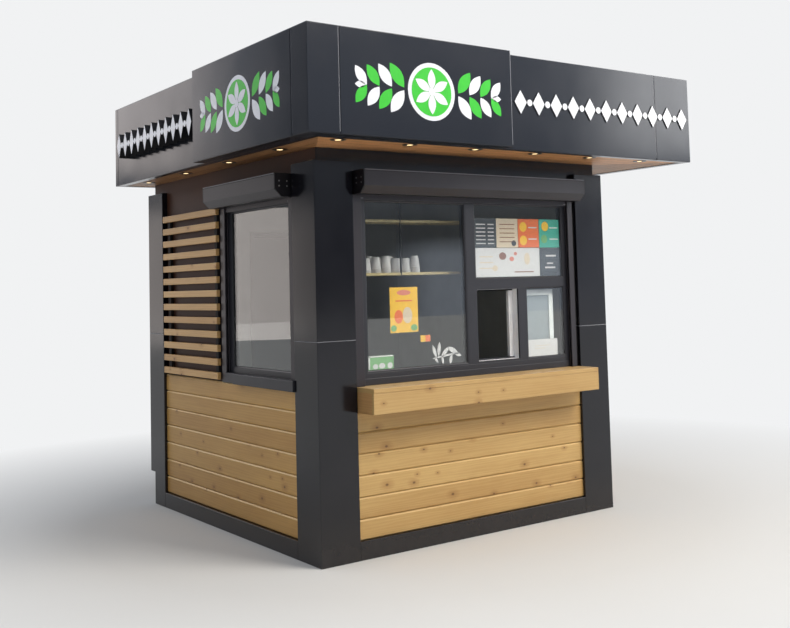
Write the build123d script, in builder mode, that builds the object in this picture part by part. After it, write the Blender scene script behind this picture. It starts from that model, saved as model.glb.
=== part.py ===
# Street kiosk: a small walk-in sales cabin with black corner pylons, pine boards and a deep
# sign fascia on a flat roof that overhangs the walls.
# Millimetres. +Z is up and the serving front faces -Y. The origin is on the ground, under the
# middle of the roof outline.
from build123d import *
import os

os.makedirs("parts", exist_ok=True)

# Body in plan, over the faces of the corner pylons
front_width = 2500
side_depth = 2670
pylon_front_width = 280
pylon_side_width = 287

# Roof outline, measured out from the pylon faces
front_overhang = 418
left_overhang = 237
right_overhang = 537
rear_overhang = 97
sign_projection = 93

# Build-up of a wall, measured in from the pylon faces
wall_recess = 50
wall_thickness = 80
panel_thickness = 8
board_recess = 22

# Heights
base_height = 60
plinth_height = 115
pylon_joint_height = 1348
header_band_height = 82
front_boards_top = 900
side_boards_top = 1032
fascia_bottom = 2547
fascia_top = 3176
soffit_lip = 4
soffit_thickness = 12
lamp_space = 40
roof_deck_thickness = 100
fascia_thickness = 60
panel_joint = 3

# Base
plinth_thickness = 50
rear_base_setback = 85
rear_pylon_cut_height = 250

# Serving counter
counter_top_height = 1057
counter_reach = 179
counter_end_gap = 4
counter_board = 28
counter_side_board = 22

# Windows
window_head_drop = 184
window_profile = 65
bottom_rail = 91
window_face_recess = 46
window_depth = 60
front_window_left_margin = 55
front_window_right_margin = 42
left_window_front_margin = 33
left_window_rear_margin = 56
window_seat = 0.5
glass_thickness = 20
glass_setback = 8
glass_bite = 12
glass_clearance = 0.5
mullion_width = 98
transom_bottom = 1636
transom_height = 80
hatch_width = 375
hatch_post_width = 85

# Sliding sash of the serving hatch
sash_profile = 42
sash_thickness = 28
sash_running_gap = 0.5
sash_track_height = 10
sash_track_width = 34
sash_overlap = 22
sash_travel = 357

# Roller shutters
shutter_box_size = 150
shutter_box_drop = 206
shutter_box_chamfer = 47
shutter_box_corner_gap = 16
left_box_overrun = 20
shutter_wall = 3
shutter_cap_thickness = 8
shutter_slot_width = 18
guide_width = 70
right_guide_gap = 20
guide_depth = 32
guide_slot_width = 12
guide_slot_depth = 24
bottom_bar_height = 60
bottom_bar_thickness = 10
bottom_bar_drop = 32
left_unit_end = 1358
sill_height = 71
sill_reach = 15
sill_lip_setback = 225

# Slat screen
slat_count = 13
slat_pitch = 98
slat_height = 48
slat_depth = 28
slat_proud = 10
slat_front_gap = 4
slat_rear_gap = 30
first_slat_gap = 17
bearer_width = 40
bearer_inset = 40

# Soffit lamps
lamp_flange_diameter = 100
lamp_flange_thickness = 4
lamp_can_diameter = 78
lamp_can_height = 36
lamp_mouth_diameter = 66
lamp_mouth_depth = 9
lamp_hole_clearance = 1
lamp_line_inset = 290
side_lamp_inset = 103
front_lamp_count = 6
front_lamp_pitch = 523
side_lamp_count = 4
side_lamp_pitch = 720
side_lamp_start = 236

# Sign cassettes
sign_front_end = 1185
sign_left_end = 1048
sign_corner_front = 213
sign_corner_side = 191
sign_skin = 4
fascia_joint_from_right = 376

# Rear door
door_left = 860
door_opening_width = 860
door_opening_height = 2060
door_frame_width = 45
door_frame_proud = 20
door_gap = 3
door_leaf_thickness = 50
hinge_height = 110
hinge_barrel_diameter = 16
hinge_end_distance = 180

# Display shelves behind the left-hand pane
shelf_length = 1248
shelf_depth = 200
shelf_thickness = 18
shelf_front_gap = 60
upper_shelf_height = 2101
lower_shelf_height = 1749
shelf_rod_diameter = 12
shelf_rod_left_inset = 634
shelf_rod_right_inset = 30
shelf_rod_edge = 4
shelf_hole_clearance = 0.4

# Places that follow from the sizes above
roof_width = sign_projection + left_overhang + front_width + right_overhang
roof_depth = sign_projection + front_overhang + side_depth + rear_overhang
left = -roof_width / 2 + sign_projection + left_overhang
right = left + front_width
front = -roof_depth / 2 + sign_projection + front_overhang
rear = front + side_depth
middle = (left + right) / 2

pylon_left = left + pylon_front_width
pylon_right = right - pylon_front_width
pylon_front = front + pylon_side_width
pylon_rear = rear - pylon_side_width

wall_left = left + wall_recess
wall_right = right - wall_recess
wall_front = front + wall_recess
wall_rear = rear - wall_recess
room_left = wall_left + wall_thickness
room_right = wall_right - wall_thickness
room_front = wall_front + wall_thickness
room_rear = wall_rear - wall_thickness

soffit_bottom = fascia_bottom + soffit_lip
soffit_top = soffit_bottom + soffit_thickness
wall_top = soffit_top + lamp_space
fascia_left = left - left_overhang
fascia_right = right + right_overhang
fascia_front = front - front_overhang
fascia_rear = rear + rear_overhang
fascia_height = fascia_top - fascia_bottom

# The windows and shutters hang from the top of the pylons and stand on the counter
pylon_height = soffit_bottom - header_band_height
window_bottom = counter_top_height
window_top = pylon_height - window_head_drop
shutter_box_bottom = pylon_height - shutter_box_drop
sign_front = fascia_front - sign_projection
sign_left = fascia_left - sign_projection

window_left = pylon_left + front_window_left_margin
window_right = pylon_right - front_window_right_margin
left_unit_rear = front + left_unit_end
side_window_front = pylon_front + left_window_front_margin
side_window_rear = left_unit_rear - left_window_rear_margin
window_face_front = front + window_face_recess
window_face_left = left + window_face_recess
door_right = door_left + door_opening_width


def rectangle_between(low_x, high_x, low_y, high_y, mode=Mode.ADD):
    """A rectangle in the current sketch, given by its four sides."""
    with Locations(((low_x + high_x) / 2, (low_y + high_y) / 2)):
        Rectangle(high_x - low_x, high_y - low_y, mode=mode)


def front_elevation(y):
    """A sketch plane seen from the front, X across and Z up, at depth y."""
    return Plane.XZ.offset(-y)


def side_elevation(x):
    """A sketch plane seen from the right, Y across and Z up, at place x."""
    return Plane.YZ.offset(x)


# Plinth: black boards between the pylons on the front and the two sides
with BuildPart() as plinth:
    with BuildSketch():
        rectangle_between(pylon_left, pylon_right, front, front + plinth_thickness)
        rectangle_between(left, left + plinth_thickness, pylon_front, pylon_rear)
        rectangle_between(right - plinth_thickness, right, pylon_front, pylon_rear)
    extrude(amount=plinth_height)
plinth.part.label = "plinth"
export_step(plinth.part, "parts/plinth.step")

# Floor: a framed and insulated raft on the ground, its lower layer set back at the rear
with BuildPart() as floor_panel:
    with BuildSketch():
        rectangle_between(wall_left, wall_right, wall_front, rear - rear_base_setback)
    extrude(amount=base_height)
    with BuildSketch(Plane.XY.offset(base_height)):
        rectangle_between(wall_left, wall_right, wall_front, wall_rear)
    extrude(amount=plinth_height - base_height)
floor_panel.part.label = "floor_panel"
export_step(floor_panel.part, "parts/floor_panel.step")


def pylon_plan(corner_x, corner_y, to_x, to_y):
    """The L of one corner pylon, to_x and to_y being +1 or -1 towards the middle."""
    end_x = corner_x + to_x * pylon_front_width
    end_y = corner_y + to_y * pylon_side_width
    in_x = corner_x + to_x * wall_recess
    in_y = corner_y + to_y * wall_recess
    Polygon(
        (corner_x, corner_y),
        (end_x, corner_y),
        (end_x, in_y),
        (in_x, in_y),
        (in_x, end_y),
        (corner_x, end_y),
        align=None,
    )


pylon_corners = {
    "pylon_front_left": (left, front, 1, 1),
    "pylon_front_right": (right, front, -1, 1),
    "pylon_rear_left": (left, rear, 1, -1),
    "pylon_rear_right": (right, rear, -1, -1),
}
for pylon_name, (corner_x, corner_y, to_x, to_y) in pylon_corners.items():
    with BuildPart() as pylon:
        with BuildSketch():
            pylon_plan(corner_x, corner_y, to_x, to_y)
        extrude(amount=pylon_joint_height)
        with BuildSketch(Plane.XY.offset(pylon_joint_height + panel_joint)):
            pylon_plan(corner_x, corner_y, to_x, to_y)
        extrude(amount=pylon_height - pylon_joint_height - panel_joint)
        if corner_y == rear:
            with BuildSketch():
                rectangle_between(left, right, rear - rear_base_setback, rear)
            extrude(amount=rear_pylon_cut_height, mode=Mode.SUBTRACT)
    pylon.part.label = pylon_name
    export_step(pylon.part, f"parts/{pylon_name}.step")

# Walls of insulated panel, the side walls running the whole depth
with BuildPart() as front_wall:
    with BuildSketch(front_elevation(wall_front)):
        rectangle_between(room_left, room_right, plinth_height, wall_top)
        rectangle_between(window_left, window_right, window_bottom, window_top, mode=Mode.SUBTRACT)
    extrude(amount=-wall_thickness)
front_wall.part.label = "front_wall"
export_step(front_wall.part, "parts/front_wall.step")

with BuildPart() as left_wall:
    with BuildSketch(side_elevation(wall_left)):
        rectangle_between(wall_front, wall_rear, plinth_height, wall_top)
        rectangle_between(
            side_window_front, side_window_rear, window_bottom, window_top, mode=Mode.SUBTRACT
        )
    extrude(amount=wall_thickness)
left_wall.part.label = "left_wall"
export_step(left_wall.part, "parts/left_wall.step")

with BuildPart() as right_wall:
    with BuildSketch(side_elevation(room_right)):
        rectangle_between(wall_front, wall_rear, plinth_height, wall_top)
    extrude(amount=wall_thickness)
right_wall.part.label = "right_wall"
export_step(right_wall.part, "parts/right_wall.step")

door_top = plinth_height + door_opening_height
with BuildPart() as rear_wall:
    with BuildSketch(front_elevation(room_rear)):
        rectangle_between(room_left, room_right, plinth_height, wall_top)
        rectangle_between(
            left + door_left, left + door_right, plinth_height, door_top, mode=Mode.SUBTRACT
        )
    extrude(amount=-wall_thickness)
rear_wall.part.label = "rear_wall"
export_step(rear_wall.part, "parts/rear_wall.step")

# Pine boarding on battens, between the pylons
board_depth = wall_recess - board_recess
with BuildPart() as front_boards:
    with BuildSketch(front_elevation(front + board_recess)):
        rectangle_between(pylon_left, pylon_right, plinth_height, front_boards_top)
    extrude(amount=-board_depth)
front_boards.part.label = "front_boards"
export_step(front_boards.part, "parts/front_boards.step")

with BuildPart() as left_boards:
    with BuildSketch(side_elevation(left + board_recess)):
        rectangle_between(pylon_front, pylon_rear, plinth_height, side_boards_top)
    extrude(amount=board_depth)
left_boards.part.label = "left_boards"
export_step(left_boards.part, "parts/left_boards.step")

with BuildPart() as right_boards:
    with BuildSketch(side_elevation(wall_right)):
        rectangle_between(pylon_front, pylon_rear, plinth_height, side_boards_top)
    extrude(amount=board_depth)
right_boards.part.label = "right_boards"
export_step(right_boards.part, "parts/right_boards.step")

with BuildPart() as rear_boards:
    with BuildSketch(front_elevation(wall_rear)):
        rectangle_between(pylon_left, left + door_left, plinth_height, side_boards_top)
        rectangle_between(left + door_right, pylon_right, plinth_height, side_boards_top)
    extrude(amount=-board_depth)
rear_boards.part.label = "rear_boards"
export_step(rear_boards.part, "parts/rear_boards.step")

# Black panels above the boards; their top band passes over the pylons to the corners
panel_left = wall_left - panel_thickness
panel_right = wall_right + panel_thickness
panel_front = wall_front - panel_thickness
panel_rear = wall_rear + panel_thickness

with BuildPart() as front_header:
    with BuildSketch(front_elevation(panel_front)):
        rectangle_between(pylon_left, pylon_right, window_top, soffit_bottom)
        rectangle_between(panel_left, panel_right, pylon_height, soffit_bottom)
    extrude(amount=-panel_thickness)
front_header.part.label = "front_header"
export_step(front_header.part, "parts/front_header.step")

with BuildPart() as left_upper_panel:
    with BuildSketch(side_elevation(panel_left)):
        rectangle_between(left_unit_rear, pylon_rear, side_boards_top, soffit_bottom)
        rectangle_between(pylon_front, pylon_rear, window_top, soffit_bottom)
        rectangle_between(wall_front, wall_rear, pylon_height, soffit_bottom)
    extrude(amount=panel_thickness)
left_upper_panel.part.label = "left_upper_panel"
export_step(left_upper_panel.part, "parts/left_upper_panel.step")

with BuildPart() as right_upper_panel:
    with BuildSketch(side_elevation(wall_right)):
        rectangle_between(pylon_front, pylon_rear, side_boards_top, soffit_bottom)
        rectangle_between(wall_front, wall_rear, pylon_height, soffit_bottom)
    extrude(amount=panel_thickness)
right_upper_panel.part.label = "right_upper_panel"
export_step(right_upper_panel.part, "parts/right_upper_panel.step")

with BuildPart() as rear_upper_panel:
    with BuildSketch(front_elevation(wall_rear)):
        rectangle_between(pylon_left, pylon_right, side_boards_top, soffit_bottom)
        rectangle_between(panel_left, panel_right, pylon_height, soffit_bottom)
        rectangle_between(
            left + door_left, left + door_right, side_boards_top, door_top, mode=Mode.SUBTRACT
        )
    extrude(amount=-panel_thickness)
rear_upper_panel.part.label = "rear_upper_panel"
export_step(rear_upper_panel.part, "parts/rear_upper_panel.step")

# Serving counter: a boxed shelf of pine boards between the pylons
counter_left = pylon_left + counter_end_gap
counter_right = pylon_right - counter_end_gap
counter_front_face = front - counter_reach
counter_board_bottom = counter_top_height - counter_board

with BuildPart() as counter_top:
    with BuildSketch(Plane.XY.offset(counter_board_bottom)):
        rectangle_between(counter_left, counter_right, counter_front_face, wall_front)
    extrude(amount=counter_board)
counter_top.part.label = "counter_top"
export_step(counter_top.part, "parts/counter_top.step")

with BuildPart() as counter_front:
    with BuildSketch(front_elevation(counter_front_face)):
        rectangle_between(counter_left, counter_right, front_boards_top, counter_board_bottom)
    extrude(amount=-counter_side_board)
counter_front.part.label = "counter_front"
export_step(counter_front.part, "parts/counter_front.step")

with BuildPart() as counter_ends:
    with BuildSketch(Plane.XY.offset(front_boards_top)):
        for end_low in (counter_left, counter_right - counter_side_board):
            rectangle_between(
                end_low,
                end_low + counter_side_board,
                counter_front_face + counter_side_board,
                wall_front,
            )
    extrude(amount=counter_board_bottom - front_boards_top)
counter_ends.part.label = "counter_ends"
export_step(counter_ends.part, "parts/counter_ends.step")

with BuildPart() as counter_underside:
    with BuildSketch(Plane.XY.offset(front_boards_top)):
        rectangle_between(
            counter_left + counter_side_board,
            counter_right - counter_side_board,
            counter_front_face + counter_side_board,
            wall_front,
        )
    extrude(amount=counter_side_board)
counter_underside.part.label = "counter_underside"
export_step(counter_underside.part, "parts/counter_underside.step")

# Front window: one frame with a full-height light on the left, a light over a transom on the
# right, and below the transom the serving hatch with a fixed light beside it
frame_left = window_left + window_seat
frame_right = window_right - window_seat
frame_bottom = window_bottom
frame_top = window_top - window_seat
light_left = window_left + window_profile
light_right = window_right - window_profile
light_bottom = window_bottom + bottom_rail
light_top = window_top - window_profile
mullion_left = middle - mullion_width / 2
mullion_right = middle + mullion_width / 2
transom_top = transom_bottom + transom_height
hatch_right = mullion_right + hatch_width
post_right = hatch_right + hatch_post_width
glass_front = window_face_front + glass_setback

front_panes = {
    "left": (light_left, mullion_left, light_bottom, light_top),
    "upper_right": (mullion_right, light_right, transom_top, light_top),
    "lower_right": (post_right, light_right, light_bottom, transom_bottom),
}
hatch = (mullion_right, hatch_right, light_bottom, transom_bottom)


def grown(limits, amount):
    """Rectangle limits moved out by the same amount on all four sides."""
    low_x, high_x, low_y, high_y = limits
    return low_x - amount, high_x + amount, low_y - amount, high_y + amount


sash_back = window_face_front + window_depth + sash_running_gap
with BuildPart() as front_window_frame:
    with BuildSketch(front_elevation(window_face_front)):
        rectangle_between(frame_left, frame_right, frame_bottom, frame_top)
        for pane in front_panes.values():
            rectangle_between(*pane, mode=Mode.SUBTRACT)
        rectangle_between(*hatch, mode=Mode.SUBTRACT)
    extrude(amount=-window_depth)
    # Rebates that hold the glass
    with BuildSketch(front_elevation(glass_front - glass_clearance)):
        for pane in front_panes.values():
            rectangle_between(*grown(pane, glass_bite + glass_clearance))
    extrude(amount=-(glass_thickness + 2 * glass_clearance), mode=Mode.SUBTRACT)
    # Upper and lower tracks of the sliding sash, on the room side
    with BuildSketch(front_elevation(window_face_front + window_depth)):
        for ledge in (light_bottom, transom_bottom):
            rectangle_between(
                mullion_right - sash_track_height,
                light_right + sash_track_height,
                ledge - sash_track_height,
                ledge + sash_track_height,
            )
    extrude(amount=-sash_track_width)
front_window_frame.part.label = "front_window_frame"
export_step(front_window_frame.part, "parts/front_window_frame.step")

with BuildPart() as front_window_glass:
    with BuildSketch(front_elevation(glass_front)):
        for pane in front_panes.values():
            rectangle_between(*grown(pane, glass_bite))
    extrude(amount=-glass_thickness)
front_window_glass.part.label = "front_window_glass"
export_step(front_window_glass.part, "parts/front_window_glass.step")

# Sliding sash, pushed aside behind the fixed light so that the hatch is open
sash_left = mullion_right - sash_overlap + sash_travel
sash_right = sash_left + hatch_width + 2 * sash_overlap
sash_bottom = light_bottom + sash_track_height + sash_running_gap
sash_top = transom_bottom - sash_track_height - sash_running_gap
sash_outline = (sash_left, sash_right, sash_bottom, sash_top)
sash_light = grown(sash_outline, -sash_profile)
sash_glass_thickness = sash_thickness / 3
sash_glass_front = sash_back + (sash_thickness - sash_glass_thickness) / 2

with BuildPart() as sliding_sash:
    with BuildSketch(front_elevation(sash_back)):
        rectangle_between(*sash_outline)
        rectangle_between(*sash_light, mode=Mode.SUBTRACT)
    extrude(amount=-sash_thickness)
    with BuildSketch(front_elevation(sash_glass_front - glass_clearance)):
        rectangle_between(*grown(sash_light, glass_bite + glass_clearance))
    extrude(amount=-(sash_glass_thickness + 2 * glass_clearance), mode=Mode.SUBTRACT)
sliding_sash.part.label = "sliding_sash"
export_step(sliding_sash.part, "parts/sliding_sash.step")

with BuildPart() as sliding_sash_glass:
    with BuildSketch(front_elevation(sash_glass_front)):
        rectangle_between(*grown(sash_light, glass_bite))
    extrude(amount=-sash_glass_thickness)
sliding_sash_glass.part.label = "sliding_sash_glass"
export_step(sliding_sash_glass.part, "parts/sliding_sash_glass.step")

# Left window: one fixed light over a projecting sill
side_light = (
    side_window_front + window_profile,
    side_window_rear - window_profile,
    light_bottom,
    light_top,
)
side_glass_left = window_face_left + glass_setback
with BuildPart() as left_window_frame:
    with BuildSketch(side_elevation(window_face_left)):
        rectangle_between(
            side_window_front + window_seat, side_window_rear - window_seat, frame_bottom, frame_top
        )
        rectangle_between(*side_light, mode=Mode.SUBTRACT)
    extrude(amount=window_depth)
    with BuildSketch(side_elevation(side_glass_left - glass_clearance)):
        rectangle_between(*grown(side_light, glass_bite + glass_clearance))
    extrude(amount=glass_thickness + 2 * glass_clearance, mode=Mode.SUBTRACT)
left_window_frame.part.label = "left_window_frame"
export_step(left_window_frame.part, "parts/left_window_frame.step")

with BuildPart() as left_window_glass:
    with BuildSketch(side_elevation(side_glass_left)):
        rectangle_between(*grown(side_light, glass_bite))
    extrude(amount=glass_thickness)
left_window_glass.part.label = "left_window_glass"
export_step(left_window_glass.part, "parts/left_window_glass.step")

# The sill lies under both guide rails; its projecting lip stops short of the rear rail
sill_top = side_boards_top + sill_height
guide_face = window_face_recess - guide_depth
with BuildPart() as left_window_sill:
    with BuildSketch(side_elevation(left - sill_reach)):
        rectangle_between(
            pylon_front, left_unit_rear - sill_lip_setback, side_boards_top, sill_top
        )
    extrude(amount=sill_reach + guide_face)
    with BuildSketch(side_elevation(left + guide_face)):
        rectangle_between(pylon_front, left_unit_rear, side_boards_top, sill_top)
    extrude(amount=window_face_recess - guide_face)
left_window_sill.part.label = "left_window_sill"
export_step(left_window_sill.part, "parts/left_window_sill.step")


def shutter_profile(inset=0):
    """Section of the shutter box: x is the distance out from the panel, y is the height."""
    low = inset
    high = shutter_box_size - inset
    # An inset of a 45-degree corner moves its ends by the inset times (2 - root 2)
    cut = shutter_box_chamfer - inset * (2 - 2**0.5)
    Polygon((low, low), (low, high), (high, high), (high, low + cut), (high - cut, low), align=None)


# The boxes stop short of the corner pylon, and the left one runs past its rear rail
front_box_left = pylon_left + shutter_box_corner_gap
left_box_front = pylon_front + shutter_box_corner_gap
left_box_rear = left_unit_rear + left_box_overrun

# Planes across each shutter box: x points out of the wall and y points up
front_box_plane = Plane(
    origin=(front_box_left, panel_front, shutter_box_bottom), x_dir=(0, -1, 0), z_dir=(-1, 0, 0)
)
left_box_plane = Plane(
    origin=(panel_left, left_box_front, shutter_box_bottom), x_dir=(-1, 0, 0), z_dir=(0, 1, 0)
)
front_box_length = pylon_right - front_box_left
left_box_length = left_box_rear - left_box_front


# The slot lies over the grooves of the guides, in front of the window face
slot_inner = shutter_wall


def shutter_housing(plane, towards, length):
    """The hollow housing between the end caps, with a slot below for the curtain."""
    start = plane.offset(towards * shutter_cap_thickness)
    clear_length = length - 2 * shutter_cap_thickness
    with BuildSketch(start) as section:
        shutter_profile()
    extrude(section.sketch, amount=towards * clear_length)
    with BuildSketch(start) as hollow:
        shutter_profile(shutter_wall)
        rectangle_between(slot_inner, slot_inner + shutter_slot_width, 0, 2 * shutter_wall)
    extrude(hollow.sketch, amount=towards * clear_length, mode=Mode.SUBTRACT)


with BuildPart() as front_shutter_box:
    shutter_housing(front_box_plane, -1, front_box_length)
front_shutter_box.part.label = "front_shutter_box"
export_step(front_shutter_box.part, "parts/front_shutter_box.step")

with BuildPart() as left_shutter_box:
    shutter_housing(left_box_plane, 1, left_box_length)
left_shutter_box.part.label = "left_shutter_box"
export_step(left_shutter_box.part, "parts/left_shutter_box.step")

with BuildPart() as shutter_end_caps:
    for plane, towards, length in (
        (front_box_plane, -1, front_box_length),
        (left_box_plane, 1, left_box_length),
    ):
        for cap_start in (0, length - shutter_cap_thickness):
            with BuildSketch(plane.offset(towards * cap_start)) as cap:
                shutter_profile()
            extrude(cap.sketch, amount=towards * shutter_cap_thickness)
shutter_end_caps.part.label = "shutter_end_caps"
export_step(shutter_end_caps.part, "parts/shutter_end_caps.step")

# Guide rails either side of each window, with a groove for the curtain
groove_out = slot_inner + (shutter_slot_width - guide_slot_width) / 2
# The left rails stand on the sill, the front rails on the counter; the right-hand front rail is
# narrower, with an open joint beside the pylon
with BuildPart() as shutter_guides:
    for inner_edge, towards_window, width in (
        (pylon_left, 1, guide_width),
        (pylon_right - right_guide_gap, -1, guide_width - right_guide_gap),
    ):
        window_edge = inner_edge + towards_window * width
        with BuildSketch(Plane.XY.offset(counter_top_height)) as rail:
            rectangle_between(
                min(inner_edge, window_edge),
                max(inner_edge, window_edge),
                front + guide_face,
                window_face_front,
            )
            groove_end = window_edge - towards_window * guide_slot_depth
            rectangle_between(
                min(groove_end, window_edge),
                max(groove_end, window_edge),
                panel_front - groove_out - guide_slot_width,
                panel_front - groove_out,
                mode=Mode.SUBTRACT,
            )
        extrude(rail.sketch, amount=shutter_box_bottom - counter_top_height)
    for inner_edge, towards_window in ((pylon_front, 1), (left_unit_rear, -1)):
        window_edge = inner_edge + towards_window * guide_width
        with BuildSketch(Plane.XY.offset(sill_top)) as rail:
            rectangle_between(
                left + guide_face,
                window_face_left,
                min(inner_edge, window_edge),
                max(inner_edge, window_edge),
            )
            groove_end = window_edge - towards_window * guide_slot_depth
            rectangle_between(
                panel_left - groove_out - guide_slot_width,
                panel_left - groove_out,
                min(groove_end, window_edge),
                max(groove_end, window_edge),
                mode=Mode.SUBTRACT,
            )
        extrude(rail.sketch, amount=shutter_box_bottom - sill_top)
shutter_guides.part.label = "shutter_guides"
export_step(shutter_guides.part, "parts/shutter_guides.step")

# Bottom bars of the two raised curtains, hanging out of the boxes between the rails
bar_low = shutter_box_bottom - bottom_bar_drop
bar_out = slot_inner + (shutter_slot_width - bottom_bar_thickness) / 2
with BuildPart() as shutter_bottom_bars:
    with BuildSketch(Plane.XY.offset(bar_low)):
        rectangle_between(
            pylon_left + guide_width - guide_slot_depth,
            pylon_right - guide_width + guide_slot_depth,
            panel_front - bar_out - bottom_bar_thickness,
            panel_front - bar_out,
        )
        rectangle_between(
            panel_left - bar_out - bottom_bar_thickness,
            panel_left - bar_out,
            pylon_front + guide_width - guide_slot_depth,
            left_unit_rear - guide_width + guide_slot_depth,
        )
    extrude(amount=bottom_bar_height)
shutter_bottom_bars.part.label = "shutter_bottom_bars"
export_step(shutter_bottom_bars.part, "parts/shutter_bottom_bars.step")

# Slat screen beside the left window: level battens on two upright bearers
first_slat_bottom = side_boards_top + first_slat_gap
slat_front = left_box_rear + slat_front_gap
slat_rear = pylon_rear - slat_rear_gap
slat_back = left - slat_proud + slat_depth
with BuildPart() as slat_screen:
    with BuildSketch(side_elevation(left - slat_proud)):
        for slat in range(slat_count):
            slat_bottom = first_slat_bottom + slat * slat_pitch
            rectangle_between(slat_front, slat_rear, slat_bottom, slat_bottom + slat_height)
    extrude(amount=slat_depth)
slat_screen.part.label = "slat_screen"
export_step(slat_screen.part, "parts/slat_screen.step")

screen_top = first_slat_bottom + (slat_count - 1) * slat_pitch + slat_height
with BuildPart() as slat_bearers:
    with BuildSketch(side_elevation(slat_back)):
        for bearer_low in (slat_front + bearer_inset, slat_rear - bearer_inset - bearer_width):
            rectangle_between(bearer_low, bearer_low + bearer_width, first_slat_bottom, screen_top)
    extrude(amount=panel_left - slat_back)
slat_bearers.part.label = "slat_bearers"
export_step(slat_bearers.part, "parts/slat_bearers.step")

# Fascia: four panels round the roof edge, the front one in two lengths
fascia_joint = fascia_right - fascia_joint_from_right
inside_left = fascia_left + fascia_thickness
inside_right = fascia_right - fascia_thickness
inside_front = fascia_front + fascia_thickness
inside_rear = fascia_rear - fascia_thickness

with BuildPart() as front_fascia:
    with BuildSketch(Plane.XY.offset(fascia_bottom)):
        rectangle_between(fascia_left, fascia_joint - panel_joint, fascia_front, inside_front)
        rectangle_between(fascia_joint, fascia_right, fascia_front, inside_front)
    extrude(amount=fascia_height)
front_fascia.part.label = "front_fascia"
export_step(front_fascia.part, "parts/front_fascia.step")

with BuildPart() as left_fascia:
    with BuildSketch(Plane.XY.offset(fascia_bottom)):
        rectangle_between(fascia_left, inside_left, inside_front, inside_rear)
    extrude(amount=fascia_height)
left_fascia.part.label = "left_fascia"
export_step(left_fascia.part, "parts/left_fascia.step")

with BuildPart() as right_fascia:
    with BuildSketch(Plane.XY.offset(fascia_bottom)):
        rectangle_between(inside_right, fascia_right, inside_front, inside_rear)
    extrude(amount=fascia_height)
right_fascia.part.label = "right_fascia"
export_step(right_fascia.part, "parts/right_fascia.step")

with BuildPart() as rear_fascia:
    with BuildSketch(Plane.XY.offset(fascia_bottom)):
        rectangle_between(fascia_left, fascia_right, inside_rear, fascia_rear)
    extrude(amount=fascia_height)
rear_fascia.part.label = "rear_fascia"
export_step(rear_fascia.part, "parts/rear_fascia.step")


def sign_tray(outline, skin):
    """A folded tray, open at the back, from its plan outline and the outline of its hollow."""
    extrude(outline, amount=fascia_height)
    extrude(skin, amount=fascia_height - 2 * sign_skin, mode=Mode.SUBTRACT)


# Sign cassettes that stand proud of the fascia round the near corner
corner_front_end = sign_left + sign_corner_front
corner_side_end = sign_front + sign_corner_side
with BuildPart() as corner_sign:
    with BuildSketch(Plane.XY.offset(fascia_bottom)) as corner_outline:
        rectangle_between(sign_left, corner_front_end, sign_front, fascia_front)
        rectangle_between(sign_left, fascia_left, sign_front, corner_side_end)
    with BuildSketch(Plane.XY.offset(fascia_bottom + sign_skin)) as corner_hollow:
        rectangle_between(
            sign_left + sign_skin, corner_front_end - sign_skin, sign_front + sign_skin, fascia_front
        )
        rectangle_between(
            sign_left + sign_skin, fascia_left, sign_front + sign_skin, corner_side_end - sign_skin
        )
    sign_tray(corner_outline.sketch, corner_hollow.sketch)
corner_sign.part.label = "corner_sign"
export_step(corner_sign.part, "parts/corner_sign.step")

front_sign_start = corner_front_end + panel_joint
front_sign_end = left + sign_front_end
with BuildPart() as front_sign:
    with BuildSketch(Plane.XY.offset(fascia_bottom)) as front_outline:
        rectangle_between(front_sign_start, front_sign_end, sign_front, fascia_front)
    with BuildSketch(Plane.XY.offset(fascia_bottom + sign_skin)) as front_hollow:
        rectangle_between(
            front_sign_start + sign_skin,
            front_sign_end - sign_skin,
            sign_front + sign_skin,
            fascia_front,
        )
    sign_tray(front_outline.sketch, front_hollow.sketch)
front_sign.part.label = "front_sign"
export_step(front_sign.part, "parts/front_sign.step")

left_sign_start = corner_side_end + panel_joint
left_sign_end = front + sign_left_end
with BuildPart() as left_sign:
    with BuildSketch(Plane.XY.offset(fascia_bottom)) as left_outline:
        rectangle_between(sign_left, fascia_left, left_sign_start, left_sign_end)
    with BuildSketch(Plane.XY.offset(fascia_bottom + sign_skin)) as left_hollow:
        rectangle_between(
            sign_left + sign_skin, fascia_left, left_sign_start + sign_skin, left_sign_end - sign_skin
        )
    sign_tray(left_outline.sketch, left_hollow.sketch)
left_sign.part.label = "left_sign"
export_step(left_sign.part, "parts/left_sign.step")

# Roof deck on the walls, carrying the fascia on its edge
with BuildPart() as roof_deck:
    with BuildSketch(Plane.XY.offset(wall_top)):
        rectangle_between(inside_left, inside_right, inside_front, inside_rear)
    extrude(amount=roof_deck_thickness)
roof_deck.part.label = "roof_deck"
export_step(roof_deck.part, "parts/roof_deck.step")

# Lamp places: along the front eave and the two side eaves
lamp_places = []
for lamp in range(front_lamp_count):
    lamp_places.append((left + lamp * front_lamp_pitch, front - lamp_line_inset))
for lamp in range(side_lamp_count):
    lamp_y = front + side_lamp_start + lamp * side_lamp_pitch
    lamp_places.append((left - side_lamp_inset, lamp_y))
    lamp_places.append((right + side_lamp_inset, lamp_y))

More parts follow.
